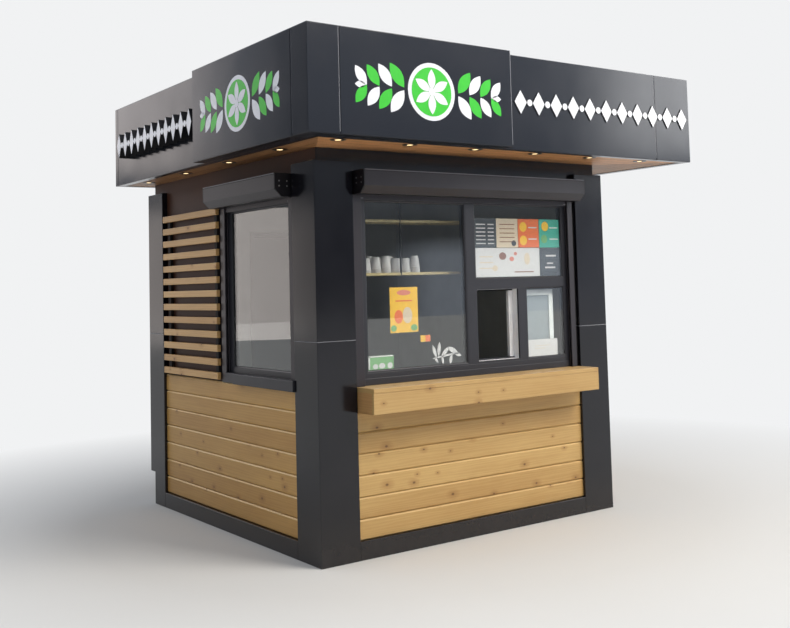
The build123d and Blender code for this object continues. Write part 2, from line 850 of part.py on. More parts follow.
# Soffit boards between the walls and the fascia, mitred at the corners
outer_corners = (
    (inside_left, inside_front),
    (inside_right, inside_front),
    (inside_right, inside_rear),
    (inside_left, inside_rear),
)
inner_corners = (
    (wall_left, wall_front),
    (wall_right, wall_front),
    (wall_right, wall_rear),
    (wall_left, wall_rear),
)
with BuildPart() as soffit:
    with BuildSketch(Plane.XY.offset(soffit_bottom)):
        rectangle_between(inside_left, inside_right, inside_front, inside_rear)
        rectangle_between(wall_left, wall_right, wall_front, wall_rear, mode=Mode.SUBTRACT)
    extrude(amount=soffit_thickness)
    # Open joints along the mitres
    with BuildSketch(Plane.XY.offset(soffit_bottom)):
        for outer_corner, inner_corner in zip(outer_corners, inner_corners):
            with BuildLine():
                mitre = Line(outer_corner, inner_corner)
            trace(mitre, panel_joint)
    extrude(amount=soffit_thickness, mode=Mode.SUBTRACT)
    with BuildSketch(Plane.XY.offset(soffit_bottom)):
        with Locations(*lamp_places):
            Circle(lamp_can_diameter / 2 + lamp_hole_clearance)
    extrude(amount=soffit_thickness, mode=Mode.SUBTRACT)
soffit.part.label = "soffit"
export_step(soffit.part, "parts/soffit.step")

# Recessed lamps: a flange under the soffit, a can above it and a mouth for the lens
flange_bottom = soffit_bottom - lamp_flange_thickness
with BuildPart() as soffit_lamps:
    with BuildSketch(Plane.XY.offset(flange_bottom)):
        with Locations(*lamp_places):
            Circle(lamp_flange_diameter / 2)
    extrude(amount=lamp_flange_thickness)
    with BuildSketch(Plane.XY.offset(soffit_bottom)):
        with Locations(*lamp_places):
            Circle(lamp_can_diameter / 2)
    extrude(amount=lamp_can_height)
    with BuildSketch(Plane.XY.offset(flange_bottom)):
        with Locations(*lamp_places):
            Circle(lamp_mouth_diameter / 2)
    extrude(amount=lamp_mouth_depth, mode=Mode.SUBTRACT)
soffit_lamps.part.label = "soffit_lamps"
export_step(soffit_lamps.part, "parts/soffit_lamps.step")

# Rear door in its frame
frame_face = rear - wall_recess + door_frame_proud
frame_depth = wall_thickness + door_frame_proud
door_inner_left = left + door_left + door_frame_width
door_inner_right = left + door_right - door_frame_width
with BuildPart() as rear_door_frame:
    with BuildSketch(front_elevation(frame_face)):
        rectangle_between(left + door_left, left + door_right, plinth_height, door_top)
        rectangle_between(
            door_inner_left,
            door_inner_right,
            plinth_height,
            door_top - door_frame_width,
            mode=Mode.SUBTRACT,
        )
    extrude(amount=frame_depth)
rear_door_frame.part.label = "rear_door_frame"
export_step(rear_door_frame.part, "parts/rear_door_frame.step")

leaf_face = frame_face - door_frame_proud / 2
leaf_top = door_top - door_frame_width - door_gap
with BuildPart() as rear_door:
    with BuildSketch(front_elevation(leaf_face)):
        rectangle_between(
            door_inner_left + door_gap,
            door_inner_right - door_gap,
            plinth_height + door_gap,
            leaf_top,
        )
    extrude(amount=door_leaf_thickness)
rear_door.part.label = "rear_door"
export_step(rear_door.part, "parts/rear_door.step")

# Three hinges on the right-hand stile: a leaf in the gap and a barrel outside
hinge_x = door_inner_right - door_gap / 2
hinge_bottoms = (
    plinth_height + hinge_end_distance,
    (plinth_height + leaf_top - hinge_height) / 2,
    leaf_top - hinge_end_distance - hinge_height,
)
barrel_y = frame_face + hinge_barrel_diameter / 2
with BuildPart() as door_hinges:
    for hinge_bottom in hinge_bottoms:
        with BuildSketch(Plane.XY.offset(hinge_bottom)):
            rectangle_between(
                door_inner_right - door_gap,
                door_inner_right,
                leaf_face - door_leaf_thickness,
                barrel_y,
            )
            with Locations((hinge_x, barrel_y)):
                Circle(hinge_barrel_diameter / 2)
        extrude(amount=hinge_height)
door_hinges.part.label = "door_hinges"
export_step(door_hinges.part, "parts/door_hinges.step")

# Two display shelves behind the left-hand light, notched at the front edge round rods that
# hang from the roof deck
shelf_left = room_left
shelf_right = shelf_left + shelf_length
shelf_front = room_front + shelf_front_gap
rod_places = (
    (shelf_left + shelf_rod_left_inset, shelf_front + shelf_rod_edge),
    (shelf_right - shelf_rod_right_inset, shelf_front + shelf_rod_edge),
)
with BuildPart() as hanging_shelves:
    for shelf_bottom in (lower_shelf_height, upper_shelf_height):
        with BuildSketch(Plane.XY.offset(shelf_bottom)):
            rectangle_between(shelf_left, shelf_right, shelf_front, shelf_front + shelf_depth)
            with Locations(*rod_places):
                Circle((shelf_rod_diameter + shelf_hole_clearance) / 2, mode=Mode.SUBTRACT)
        extrude(amount=shelf_thickness)
hanging_shelves.part.label = "hanging_shelves"
export_step(hanging_shelves.part, "parts/hanging_shelves.step")

with BuildPart() as shelf_rods:
    with BuildSketch(Plane.XY.offset(lower_shelf_height)):
        with Locations(*rod_places):
            Circle(shelf_rod_diameter / 2)
    extrude(amount=wall_top - lower_shelf_height)
shelf_rods.part.label = "shelf_rods"
export_step(shelf_rods.part, "parts/shelf_rods.step")
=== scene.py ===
import math
import random

import bmesh
import bpy
from mathutils import Matrix, Vector


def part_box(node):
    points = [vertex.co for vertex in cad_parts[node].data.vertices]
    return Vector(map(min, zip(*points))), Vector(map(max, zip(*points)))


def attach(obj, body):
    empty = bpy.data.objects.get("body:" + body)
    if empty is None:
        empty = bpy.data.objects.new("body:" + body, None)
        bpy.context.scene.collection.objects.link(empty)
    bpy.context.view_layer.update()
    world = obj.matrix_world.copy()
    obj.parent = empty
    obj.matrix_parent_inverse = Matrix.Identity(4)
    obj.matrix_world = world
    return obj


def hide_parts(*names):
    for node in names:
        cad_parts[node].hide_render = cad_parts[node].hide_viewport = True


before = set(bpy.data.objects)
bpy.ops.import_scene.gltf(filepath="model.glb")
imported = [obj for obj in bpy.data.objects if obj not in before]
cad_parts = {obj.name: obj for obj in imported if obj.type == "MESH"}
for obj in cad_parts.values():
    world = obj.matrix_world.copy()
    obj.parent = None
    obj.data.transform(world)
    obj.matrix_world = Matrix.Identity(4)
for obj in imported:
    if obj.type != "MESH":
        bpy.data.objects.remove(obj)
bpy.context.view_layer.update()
X, Y, Z = 0, 1, 2

# Boards lie at this pitch from this height up, with an open joint between two of them
board_pitch = 0.1328
board_start = 0.107
joint_gap = 0.003
boards = (board_pitch, board_start)


# Materials


def linear(hex_colour):
    """An sRGB hex colour as linear red, green and blue, with alpha."""
    parts = [int(hex_colour[i : i + 2], 16) / 255 for i in (1, 3, 5)]
    return [c / 12.92 if c <= 0.04045 else ((c + 0.055) / 1.055) ** 2.4 for c in parts] + [1.0]


def add(tree, kind, inputs=(), out=0, **settings):
    """Add a node with its settings and give one of its outputs.

    Inputs are in the order of the sockets or a dict by name or number. Each is a value, a hex
    colour or another node's output.
    """
    node = tree.nodes.new("ShaderNode" + kind)
    for key, value in settings.items():
        setattr(node, key, value)
    for socket, value in inputs.items() if isinstance(inputs, dict) else enumerate(inputs):
        if isinstance(value, bpy.types.NodeSocket):
            tree.links.new(value, node.inputs[socket])
        else:
            node.inputs[socket].default_value = linear(value) if isinstance(value, str) else value
    return node.outputs[out]


def start_finish(name, **values):
    """A new material with its shader's plain values set; gives material, tree, shader, place."""
    made = bpy.data.materials.new(name)
    made.use_nodes = True
    tree = made.node_tree
    shader = tree.nodes["Principled BSDF"]
    for socket, value in values.items():
        value = linear(value) if isinstance(value, str) else value
        shader.inputs[socket.replace("_", " ")].default_value = value
    return made, tree, shader, add(tree, "TexCoord", out="Object")


def give(tree, node, **outputs):
    """Link outputs to a node's inputs by name."""
    for socket, output in outputs.items():
        tree.links.new(output, node.inputs[socket.replace("_", " ")])


def stained_pine(name, along, across, pale, deep, course=None):
    """Planed pine under golden stain and satin varnish: long soft grain with small dark knots.

    course is the pitch and the start of the rows of boards, each of which is cut from its own log.
    """
    made, tree, shader, place = start_finish(name, Roughness=0.42, IOR=1.5)
    axes = add(tree, "SeparateXYZ", (place,)).node.outputs
    run, width, depth = axes[along], axes[across], axes[3 - along - across]
    board = 0.0
    if course:
        pitch, start = course
        above = add(tree, "Math", (width, start), operation="SUBTRACT")
        row = add(tree, "Math", (above, pitch), operation="DIVIDE")
        board = add(tree, "Math", (row,), operation="FLOOR")
        # The next board shows a stretch of grain 3.37 m further along
        run = add(tree, "Math", (board, 3.37, run), operation="MULTIPLY_ADD")
    # Grain 22 times longer than wide, with year rings about 18 mm apart as on a flat-sawn face
    slow_run = add(tree, "Math", (run, 0.045), operation="MULTIPLY")
    grain = add(tree, "CombineXYZ", (slow_run, width, depth))
    wander = add(tree, "TexNoise", dict(Vector=grain, Scale=9.0, Detail=2.0, Roughness=0.55))
    wave = {"Vector": grain, "Scale": 17.0, "Distortion": 9.0, "Detail": 2.0, "Detail Scale": 1.6}
    rings = add(tree, "TexWave", wave, "Fac", bands_direction="Y")
    # Real fibre is finer than 1 mm; streaks 5 mm wide are the finest that show
    fibre = add(tree, "TexNoise", dict(Vector=grain, Scale=210.0, Detail=3.0, Roughness=0.6))
    patch_run = add(tree, "Math", (run, 0.4), operation="MULTIPLY")
    patch = add(tree, "CombineXYZ", (patch_run, width, board))
    stain = add(tree, "TexNoise", dict(Vector=patch, Scale=4.0, Detail=3.0, Roughness=0.55))
    tone = add(tree, "Math", (wander, 0.24), operation="MULTIPLY")
    for part, share in ((stain, 0.46), (fibre, 0.22), (rings, 0.12)):
        tone = add(tree, "Math", (part, share, tone), operation="MULTIPLY_ADD")
    own = add(tree, "TexWhiteNoise", dict(W=board), "Value", noise_dimensions="1D")
    own_shade = add(tree, "MapRange", (own, 0.0, 1.0, -0.09, 0.09))
    tone = add(tree, "Math", (tone, own_shade), operation="ADD")
    if course:
        # The lowest boards are a little darker towards the bottom
        darker_low = add(tree, "MapRange", (width, 0.1, 0.38, -0.15, 0.0))
        tone = add(tree, "Math", (tone, darker_low), operation="ADD")
    paleness = add(tree, "MapRange", (tone, 0.3, 0.72))
    colour = add(tree, "Mix", {0: paleness, 6: deep, 7: pale}, 2, data_type="RGBA")
    # Knots 8 to 18 mm high and half as long again, about 14 to the square metre
    knot_run = add(tree, "Math", (run, 5.2), operation="MULTIPLY")
    knot_width = add(tree, "Math", (width, 8.0, 0.4), operation="MULTIPLY_ADD")
    cells = dict(Vector=add(tree, "CombineXYZ", (knot_run, knot_width)), Scale=1.0, Randomness=0.85)
    cell = add(tree, "TexVoronoi", cells, voronoi_dimensions="2D").node.outputs
    pick = add(tree, "SeparateColor", (cell["Color"],)).node.outputs
    kept = add(tree, "MapRange", (pick[0], 0.66, 0.67))
    reach = add(tree, "MapRange", (pick[1], 0.0, 1.0, 0.03, 0.07))
    near = add(tree, "Math", (cell["Distance"], reach), operation="DIVIDE")
    halo_fade = add(tree, "MapRange", (near, 0.8, 5.0, 0.4, 0.0))
    core_fade = add(tree, "MapRange", (near, 0.5, 1.15, 0.8, 0.0))
    halo = add(tree, "Math", (halo_fade, kept), operation="MULTIPLY")
    core = add(tree, "Math", (core_fade, kept), operation="MULTIPLY")
    around = {0: halo, 6: colour, 7: deep}
    colour = add(tree, "Mix", around, 2, data_type="RGBA", blend_type="MULTIPLY")
    colour = add(tree, "Mix", {0: core, 6: colour, 7: "#5A3A1E"}, 2, data_type="RGBA")
    bump = add(tree, "Bump", dict(Height=fibre, Distance=0.0004, Strength=1.0))
    give(tree, shader, Base_Color=colour, Normal=bump)
    return made


def black_composite(name, tone, dusty=False):
    """Aluminium composite sheet with a glossy black coil coat, slightly wavy, dusty low down."""
    made, tree, shader, place = start_finish(name, IOR=1.5)
    haze = add(tree, "TexNoise", dict(Vector=place, Scale=3.0, Detail=4.0, Roughness=0.55))
    worn = add(tree, "MapRange", (haze, 0.45, 0.8, 0.0, 0.3))
    colour = add(tree, "Mix", {0: worn, 6: tone, 7: "#1D1C23"}, 2, data_type="RGBA")
    if dusty:
        # Splash and dust up to 300 mm above the ground
        low = add(tree, "MapRange", (add(tree, "SeparateXYZ", (place,), "Z"), 0.02, 0.3, 0.13, 0.0))
        cloud = add(tree, "TexNoise", dict(Vector=place, Scale=14.0, Detail=5.0, Roughness=0.55))
        uneven = add(tree, "MapRange", (cloud, 0.2, 0.8, 0.5, 1.0))
        dust = add(tree, "Math", (low, uneven), operation="MULTIPLY")
        colour = add(tree, "Mix", {0: dust, 6: colour, 7: "#6E655C"}, 2, data_type="RGBA")
    gloss = add(tree, "MapRange", (haze, 0.2, 0.9, 0.128, 0.24))
    # Thin sheet bends between its fixings, about 450 mm apart, so mirrored edges wander
    waves = add(tree, "TexNoise", dict(Vector=place, Scale=2.2, Detail=1.0, Roughness=0.55))
    bump = add(tree, "Bump", dict(Height=waves, Distance=0.0012, Strength=1.0))
    give(tree, shader, Base_Color=colour, Roughness=gloss, Normal=bump)
    return made


def coated(name, tone, roughness, grit=900.0, depth=0.00008, metallic=0.0):
    """An even coat, foil or skin; its orange peel or grain has grit bumps to the metre."""
    made, tree, shader, place = start_finish(name, Metallic=metallic, Roughness=roughness)
    cloud = add(tree, "TexNoise", dict(Vector=place, Scale=5.0, Detail=4.0, Roughness=0.55))
    even = add(tree, "MapRange", (cloud, 0.3, 0.7))
    shade = add(tree, "Mix", {0: even, 6: "#EEEEEE", 7: "#FFFFFF"}, 2, data_type="RGBA")
    tinted = {0: 1.0, 6: tone, 7: shade}
    colour = add(tree, "Mix", tinted, 2, data_type="RGBA", blend_type="MULTIPLY")
    skin = add(tree, "TexNoise", dict(Vector=place, Scale=grit, Detail=1.0, Roughness=0.55))
    bump = add(tree, "Bump", dict(Height=skin, Distance=depth, Strength=1.0))
    give(tree, shader, Base_Color=colour, Normal=bump)
    return made


def wood_look_lining(name, along, across, tones):
    """Brown foil-faced lining boards, 100 mm wide, with a fine open joint between them."""
    made, tree, shader, place = start_finish(name, Roughness=0.42, IOR=1.3)
    axes = add(tree, "SeparateXYZ", (place,)).node.outputs
    run, width = axes[along], axes[across]
    strip = add(tree, "Math", (width, 0.1), operation="DIVIDE")
    board = add(tree, "Math", (strip,), operation="FLOOR")
    run = add(tree, "Math", (board, 2.71, run), operation="MULTIPLY_ADD")
    # Printed grain in streaks about 10 mm wide and 20 times as long, drawn coarse so that it shows
    streaks = add(tree, "CombineXYZ", (add(tree, "Math", (run, 0.05), operation="MULTIPLY"), width))
    grain = add(tree, "TexNoise", dict(Vector=streaks, Scale=95.0, Detail=4.0, Roughness=0.65))
    colour = tones[0]
    for tone, start, end in ((tones[1], 0.3, 0.55), (tones[2], 0.55, 0.8)):
        share = add(tree, "MapRange", (grain, start, end))
        colour = add(tree, "Mix", {0: share, 6: colour, 7: tone}, 2, data_type="RGBA")
    within = add(tree, "Math", (strip,), operation="FRACT")
    off_middle = add(tree, "Math", (within, 0.5), operation="SUBTRACT")
    to_edge = add(tree, "Math", (off_middle,), operation="ABSOLUTE")
    joint = add(tree, "MapRange", (to_edge, 0.475, 0.49))
    colour = add(tree, "Mix", {0: joint, 6: colour, 7: "#1E130C"}, 2, data_type="RGBA")
    pores = add(tree, "Math", (grain, 0.1), operation="MULTIPLY")
    height = add(tree, "Math", (pores, joint), operation="SUBTRACT")
    bump = add(tree, "Bump", dict(Height=height, Distance=0.002, Strength=1.0))
    give(tree, shader, Base_Color=colour, Normal=bump)
    return made


def clear_glass(name, tint):
    """Float glass in a double unit, as one block: a raised index stands for its four faces."""
    made, tree, shader, place = start_finish(
        name, Base_Color=tint, IOR=1.75, Transmission_Weight=1.0
    )
    cloud = add(tree, "TexNoise", dict(Vector=place, Scale=7.0, Detail=3.0, Roughness=0.55))
    smear = add(tree, "MapRange", (cloud, 0.5, 0.8, 0.0, 0.025))
    give(tree, shader, Roughness=smear)
    # Light for the room passes straight through instead of being stopped as a shadow
    passing = add(tree, "BsdfTransparent", dict(Color=tint))
    is_shadow = add(tree, "LightPath", out="Is Shadow Ray")
    both = add(tree, "MixShader", (is_shadow, shader.outputs[0], passing))
    give(tree, tree.nodes["Material Output"], Surface=both)
    return made


def plain_sheet(name, tone, roughness=0.5, **values):
    """Acrylic, card, vinyl or resin film in one tone with a faint mottle 25 mm across."""
    made, tree, shader, place = start_finish(name, Roughness=roughness, **values)
    cloud = add(tree, "TexNoise", dict(Vector=place, Scale=40.0, Detail=3.0, Roughness=0.55))
    mottle = add(tree, "MapRange", (cloud, 0.3, 0.7, 0.0, 0.07))
    colour = add(tree, "Mix", {0: mottle, 6: tone, 7: "#000000"}, 2, data_type="RGBA")
    give(tree, shader, Base_Color=colour)
    return made


# Stained and varnished pine: warm, satin, each board a little different. The side boards are a
# little deeper in tone, painted shade; the upper chamfers are paler, a painted highlight that is
# stronger on the sides; the beam's end is deeper, partly end grain and partly painted shade; and the
# counter top is a little paler, painted light.
pine_front = stained_pine("stained_pine_front", X, Z, "#CBA86C", "#B48D54", boards)
pine_side_painted_shade = stained_pine("stained_pine_side_painted_shade", Y, Z, "#C69B57", "#AE8141", boards)
pine_slat = stained_pine("stained_pine_slats", Y, Z, "#D8AE72", "#BC9058", (0.098, 1.02))
pine_front_painted_highlight = stained_pine("stained_pine_front_chamfer_painted_highlight", X, Z, "#D8B97F", "#C6A066", boards)
pine_side_painted_highlight = stained_pine("stained_pine_side_chamfer_painted_highlight", Y, Z, "#F2D6A0", "#E4C286", boards)
pine_beam = stained_pine("stained_pine_beam", X, Z, "#C7A56D", "#B38D55")
pine_top_painted_light = stained_pine("stained_pine_counter_top_painted_light", X, Y, "#C6A776", "#B4905B")
pine_end_painted_shade = stained_pine("stained_pine_beam_end_painted_shade", Y, Z, "#CFA168", "#B28452")
# Coil-coated composite sheet: nearly a black mirror, so it takes the tone of what is round it.
# Above the casings it is a little paler and bluer, painted light that lifts the shaded header and
# fascia
cladding_painted_light = black_composite("black_composite_painted_light", "#171A22")
cladding_low = black_composite("black_composite_near_ground", "#101016", dusty=True)
# Behind the slats: a dull dark brown, a painted reflection of the slats' backs in the black sheet,
# with hardly a reflection of its own
painted_slat_reflection = plain_sheet("brown_painted_slat_reflection", "#4A2E21", 0.5, IOR=1.3)
# Extruded window profiles: grained dark foil outside, plain white plastic on the room side
window_foil = coated("anthracite_foiled_profile", "#2A2A30", 0.36)
white_profile = coated("white_window_profile", "#FAFAFB", 0.35)
# Powder-coated roll-formed aluminium: satin, a warm graphite, with a painted highlight along its top
# lip
shutter_metal = coated("graphite_shutter_aluminium", "#2F2B30", 0.36)
lip_highlight_and_plates = coated("bar_plates_and_painted_lip_highlight", "#77757B", 0.3)
# Sawn battens and cast caps: a coarse dull skin that stays black in any light
matte_black = coated("matte_black_batten", "#19181B", 0.7, 300.0, 0.0003)
black_cap = coated("black_cast_end_cap", "#17151A", 0.45, 400.0, 0.0003)
rubber = coated("black_gasket_rubber", "#0E0E10", 0.7)
# Zinc-plated steel sparkles, mill-finish aluminium draws thin pale lines in the joints and a
# painted highlight along the top edges of the fascia and signs and the right edge of the front sign,
# and the anodised lamp rings stay dark round their lenses
zinc = coated("zinc_plated_screws", "#A9A9AD", 0.35, metallic=1.0)
joint_strip_and_highlight = coated("mill_aluminium_joints_and_painted_highlights", "#8E8F94", 0.4)
lamp_bronze = coated("dark_bronze_lamp_ring", "#2A211D", 0.3, metallic=0.6)
# Foil-faced lining: brown wood look, paler and warmer under the front eaves as painted light,
# darker under the side ones as painted shade
lining_front_painted_light = wood_look_lining("wood_look_soffit_front_painted_light", X, Y, ("#A8784E", "#D39966", "#E8B27C"))
lining_side_painted_shade = wood_look_lining("wood_look_soffit_side_painted_shade", Y, X, ("#7C593B", "#A2754D", "#BA8D62"))
# Float glass: clear with the faintest green, a few smears soften what it mirrors
glass = clear_glass("clear_double_glazing", "#F2F6F5")
# Coil-coated sandwich panel, rolled vinyl and bitumen membrane are matt and even, the coated steel
# door is satin black, and the lacquered plywood of the shelves is the palest wood
sandwich = coated("grey_sandwich_panel", "#D6D5D1", 0.45)
floor_vinyl = coated("dark_floor_vinyl", "#4A4642", 0.6, 300.0, 0.0004)
membrane = coated("dark_roof_membrane", "#3A3938", 0.85, 500.0, 0.001)
door_coat = coated("black_door_coating", "#1B1B20", 0.38)
shelf_ply = stained_pine("pale_shelf_board", X, Y, "#D9C79A", "#BFA673")
# Cut cast acrylic: clean saturated faces with crisp dark sides
white_acrylic = plain_sheet("white_acrylic_face", "#F2F4FA", 0.3)
green_acrylic = plain_sheet("green_acrylic_face", "#3CCB34", 0.3)
return_black = plain_sheet("black_letter_return", "#131217", 0.35)
# Offset-printed card: flat matt inks in muted tones, as seen through the pane
white_card = plain_sheet("white_card", "#D3CED0", 0.55)
card_tones = {
    "slate": plain_sheet("slate_print", "#3C4048"),
    "beige": plain_sheet("beige_print", "#D8C4AE"),
    "orange": plain_sheet("orange_print", "#E5703A"),
    "teal": plain_sheet("teal_print", "#3FA896"),
    "yellow": plain_sheet("yellow_print", "#F0BC30"),
    "brown": plain_sheet("brown_print", "#8A5A48"),
    "rose": plain_sheet("rose_print", "#D9806E"),
    "leaf": plain_sheet("leaf_green_print", "#6FA86A"),
    "white": white_card,
}
# Etched vinyl film hides the room behind the sash, and the moulded lens glows warm
frosted_film = plain_sheet("frosted_window_film", "#979DA4", 0.5)
lens = plain_sheet(
    "warm_lamp_lens", "#FFF1D6", 0.4, Emission_Color="#FFDDA0", Emission_Strength=2.6
)


# Making of pieces


def block(shape, low, high, edge=0.0, steps=2, pick=None, tone=0):
    """A box between two corners, its edges eased; pick chooses which edges by their middle."""
    made = bmesh.ops.create_cube(shape, size=1.0)["verts"]
    bmesh.ops.scale(shape, vec=[b - a for a, b in zip(low, high)], verts=made)
    bmesh.ops.translate(shape, vec=[(a + b) / 2 for a, b in zip(low, high)], verts=made)
    for face in {f for v in made for f in v.link_faces}:
        face.material_index = tone
    edges = {e for v in made for e in v.link_edges}
    if pick:
        edges = {e for e in edges if pick((e.verts[0].co + e.verts[1].co) / 2)}
    if edge and edges:
        ease(shape, edges, edge, steps)


def ease(shape, edges, edge, steps=2):
    """Round the given edges."""
    bmesh.ops.bevel(
        shape,
        geom=list(edges),
        offset=edge,
        offset_type="OFFSET",
        segments=steps,
        profile=0.5,
        affect="EDGES",
        material=-1,
        clamp_overlap=True,
    )


def sharp(shape):
    """The edges at which two faces turn by more than half a radian."""
    return [e for e in shape.edges if e.calc_face_angle(0) > 0.5]


def ring(shape, axis, levels, edge=0.0, steps=2):
    """A closed frame across an axis, from rectangles given as (low corner, high corner, place)."""
    u, v = [k for k in (X, Y, Z) if k != axis]
    first = corners = bmesh.ops.create_circle(shape, segments=4, radius=1.0)["verts"]
    edges = {e for corner in corners for e in corner.link_edges}
    made = set(corners)
    for step in range(len(levels) + 1):
        if step:
            added = bmesh.ops.extrude_edge_only(shape, edges=list(edges))["geom"]
            fresh = {g for g in added if isinstance(g, bmesh.types.BMVert)}
            moved = [g for g in added if isinstance(g, bmesh.types.BMEdge)]
            edges = {e for e in moved if fresh.issuperset(e.verts)}
            links = [[e.other_vert(c) for e in c.link_edges] for c in corners]
            corners = [next(other for other in others if other in fresh) for others in links]
            made |= fresh
        low, high, place = levels[step % len(levels)]
        outline = ((low[u], low[v]), (high[u], low[v]), (high[u], high[v]), (low[u], high[v]))
        for corner, (at_u, at_v) in zip(corners, outline):
            corner.co[axis], corner.co[u], corner.co[v] = place, at_u, at_v
    bmesh.ops.remove_doubles(shape, verts=list(first) + corners, dist=1e-6)
    made = {v for v in made if v.is_valid}
    bmesh.ops.recalc_face_normals(shape, faces=list({f for v in made for f in v.link_faces}))
    if edge:
        turns = {e for v in made for e in v.link_edges if e.calc_face_angle(0) > 0.5}
        ease(shape, turns, edge, steps)


def grown(low, high, amount, axis):
    """The corners of a rectangle moved out on its four sides, across an axis."""
    step = Vector([0 if k == axis else amount for k in (X, Y, Z)])
    return low - step, high + step


def turned(shape, outline, centre, around=24):
    """A turned shape about an upright axis through centre, from (radius, height) points."""
    places = [(centre[0] + r, centre[1], centre[2] + z) for r, z in outline]
    verts = [bmesh.ops.create_vert(shape, co=place)["vert"][0] for place in places]
    edges = [shape.edges.new(pair) for pair in zip(verts, verts[1:])]
    bmesh.ops.spin(
        shape,
        geom=verts + edges,
        cent=centre,
        axis=(0, 0, 1),
        angle=2 * math.pi,
        steps=around,
        use_merge=True,
    )
    bmesh.ops.remove_doubles(shape, verts=shape.verts, dist=1e-6)


def screw(shape, place, axis, size):
    """A domed screw head facing along X or Y, sunk a little in the surface."""
    turn = Matrix.Rotation(math.pi / 2, 4, "X" if axis == Y else "Y")
    made = bmesh.ops.create_uvsphere(shape, u_segments=10, v_segments=6, radius=size)["verts"]
    bmesh.ops.scale(shape, vec=(1, 1, 0.35), verts=made)
    bmesh.ops.transform(shape, matrix=Matrix.Translation(place) @ turn, verts=made)


def piece(name, shape, finishes, nodes=(), face_finish=None, smooth=False):
    """Make a shape a piece of the kiosk, standing for the nodes; face_finish picks by face."""
    mesh = bpy.data.meshes.new(name)
    bmesh.ops.recalc_face_normals(shape, faces=shape.faces)
    for face in shape.faces:
        face.smooth = smooth
        if face_finish:
            face.material_index = face_finish(face)
    shape.to_mesh(mesh)
    shape.free()
    for finish in finishes if isinstance(finishes, list) else [finishes]:
        mesh.materials.append(finish)
    if smooth:
        mesh.set_sharp_from_angle(angle=math.radians(40))
    made = bpy.data.objects.new(name, mesh)
    bpy.context.scene.collection.objects.link(made)
    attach(made, "root")
    if nodes:
        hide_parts(*nodes)


def copy_of(node):
    """A CAD node's mesh as one closed shape with flat faces whole again."""
    shape = bmesh.new()
    shape.from_mesh(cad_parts[node].data)
    bmesh.ops.remove_doubles(shape, verts=shape.verts, dist=1e-5)
    flat = math.radians(1)
    bmesh.ops.dissolve_limit(shape, angle_limit=flat, verts=shape.verts, edges=shape.edges)
    return shape


def eased_copy(name, node, finishes, edge=0.002, steps=2, face_finish=None):
    """A CAD node with its sharp edges eased, as a piece in its place."""
    shape = copy_of(node)
    ease(shape, sharp(shape), edge, steps)
    piece(name, shape, finishes, [node], face_finish)


def dress(node, finish):
    """Give a CAD node that stays as it is its material."""
    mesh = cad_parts[node].data
    mesh.materials.clear()
    mesh.materials.append(finish)


def solids(node):
    """The corners of each separate solid of a CAD node, in order along X, Y and Z."""
    shape = bmesh.new()
    shape.from_mesh(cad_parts[node].data)
    bmesh.ops.remove_doubles(shape, verts=shape.verts, dist=1e-5)
    boxes = []
    seen = set()
    for start in shape.verts:
        if start in seen:
            continue
        seen.add(start)
        found = [start]
        for v in found:
            for e in v.link_edges:
                other = e.other_vert(v)
                if other not in seen:
                    seen.add(other)
                    found.append(other)
        low = Vector([min(v.co[k] for v in found) for k in (X, Y, Z)])
        high = Vector([max(v.co[k] for v in found) for k in (X, Y, Z)])
        boxes.append((low, high))
    shape.free()
    return sorted(boxes, key=lambda box: [round(c, 3) for c in box[0]])


# Base, corners and walls

eased_copy("plinth_boards", "plinth", cladding_low, 0.003)
dress("floor_panel", floor_vinyl)
for corner in ("front_left", "front_right", "rear_left", "rear_right"):
    node = "pylon_" + corner
    eased_copy(node + "_casing", node, cladding_low, 0.0025, 3)
    # The bright strip that shows in the level joint of the casing, in two wings
    strips = bmesh.new()
    lower, upper = sorted(solids(node), key=lambda box: box[0].z)
    low, high = lower[0], upper[1]
    inset, wing = 0.0012, 0.05
    outer_x, inner_x = (low.x, high.x) if "left" in corner else (high.x, low.x)
    outer_y, inner_y = (low.y, high.y) if "front" in corner else (high.y, low.y)
    into_x = math.copysign(1, inner_x - outer_x)
    into_y = math.copysign(1, inner_y - outer_y)
    start_x, start_y = outer_x + into_x * inset, outer_y + into_y * inset
    for xs, ys in (
        ((start_x, inner_x - into_x * inset), (start_y, outer_y + into_y * wing)),
        ((start_x, outer_x + into_x * wing), (outer_y + into_y * wing, inner_y - into_y * inset)),
    ):
        block(strips, (min(xs), min(ys), lower[1].z), (max(xs), max(ys), upper[0].z))
    piece(node + "_joint", strips, joint_strip_and_highlight)
dress("front_wall", sandwich)
# The other walls show below the rear casings, so they are black outside and pale on the room side
outward = {"left_wall": (-1, 0, 0), "right_wall": (1, 0, 0), "rear_wall": (0, 1, 0)}
for node, way in outward.items():
    way = Vector(way)
    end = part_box(node)[1].y - 0.0015
    eased_copy(
        node + "_sheet",
        node,
        [sandwich, cladding_low],
        0.001,
        1,
        lambda f: 1 if f.normal.dot(way) > 0.9 or f.calc_center_median().y > end else 0,
    )


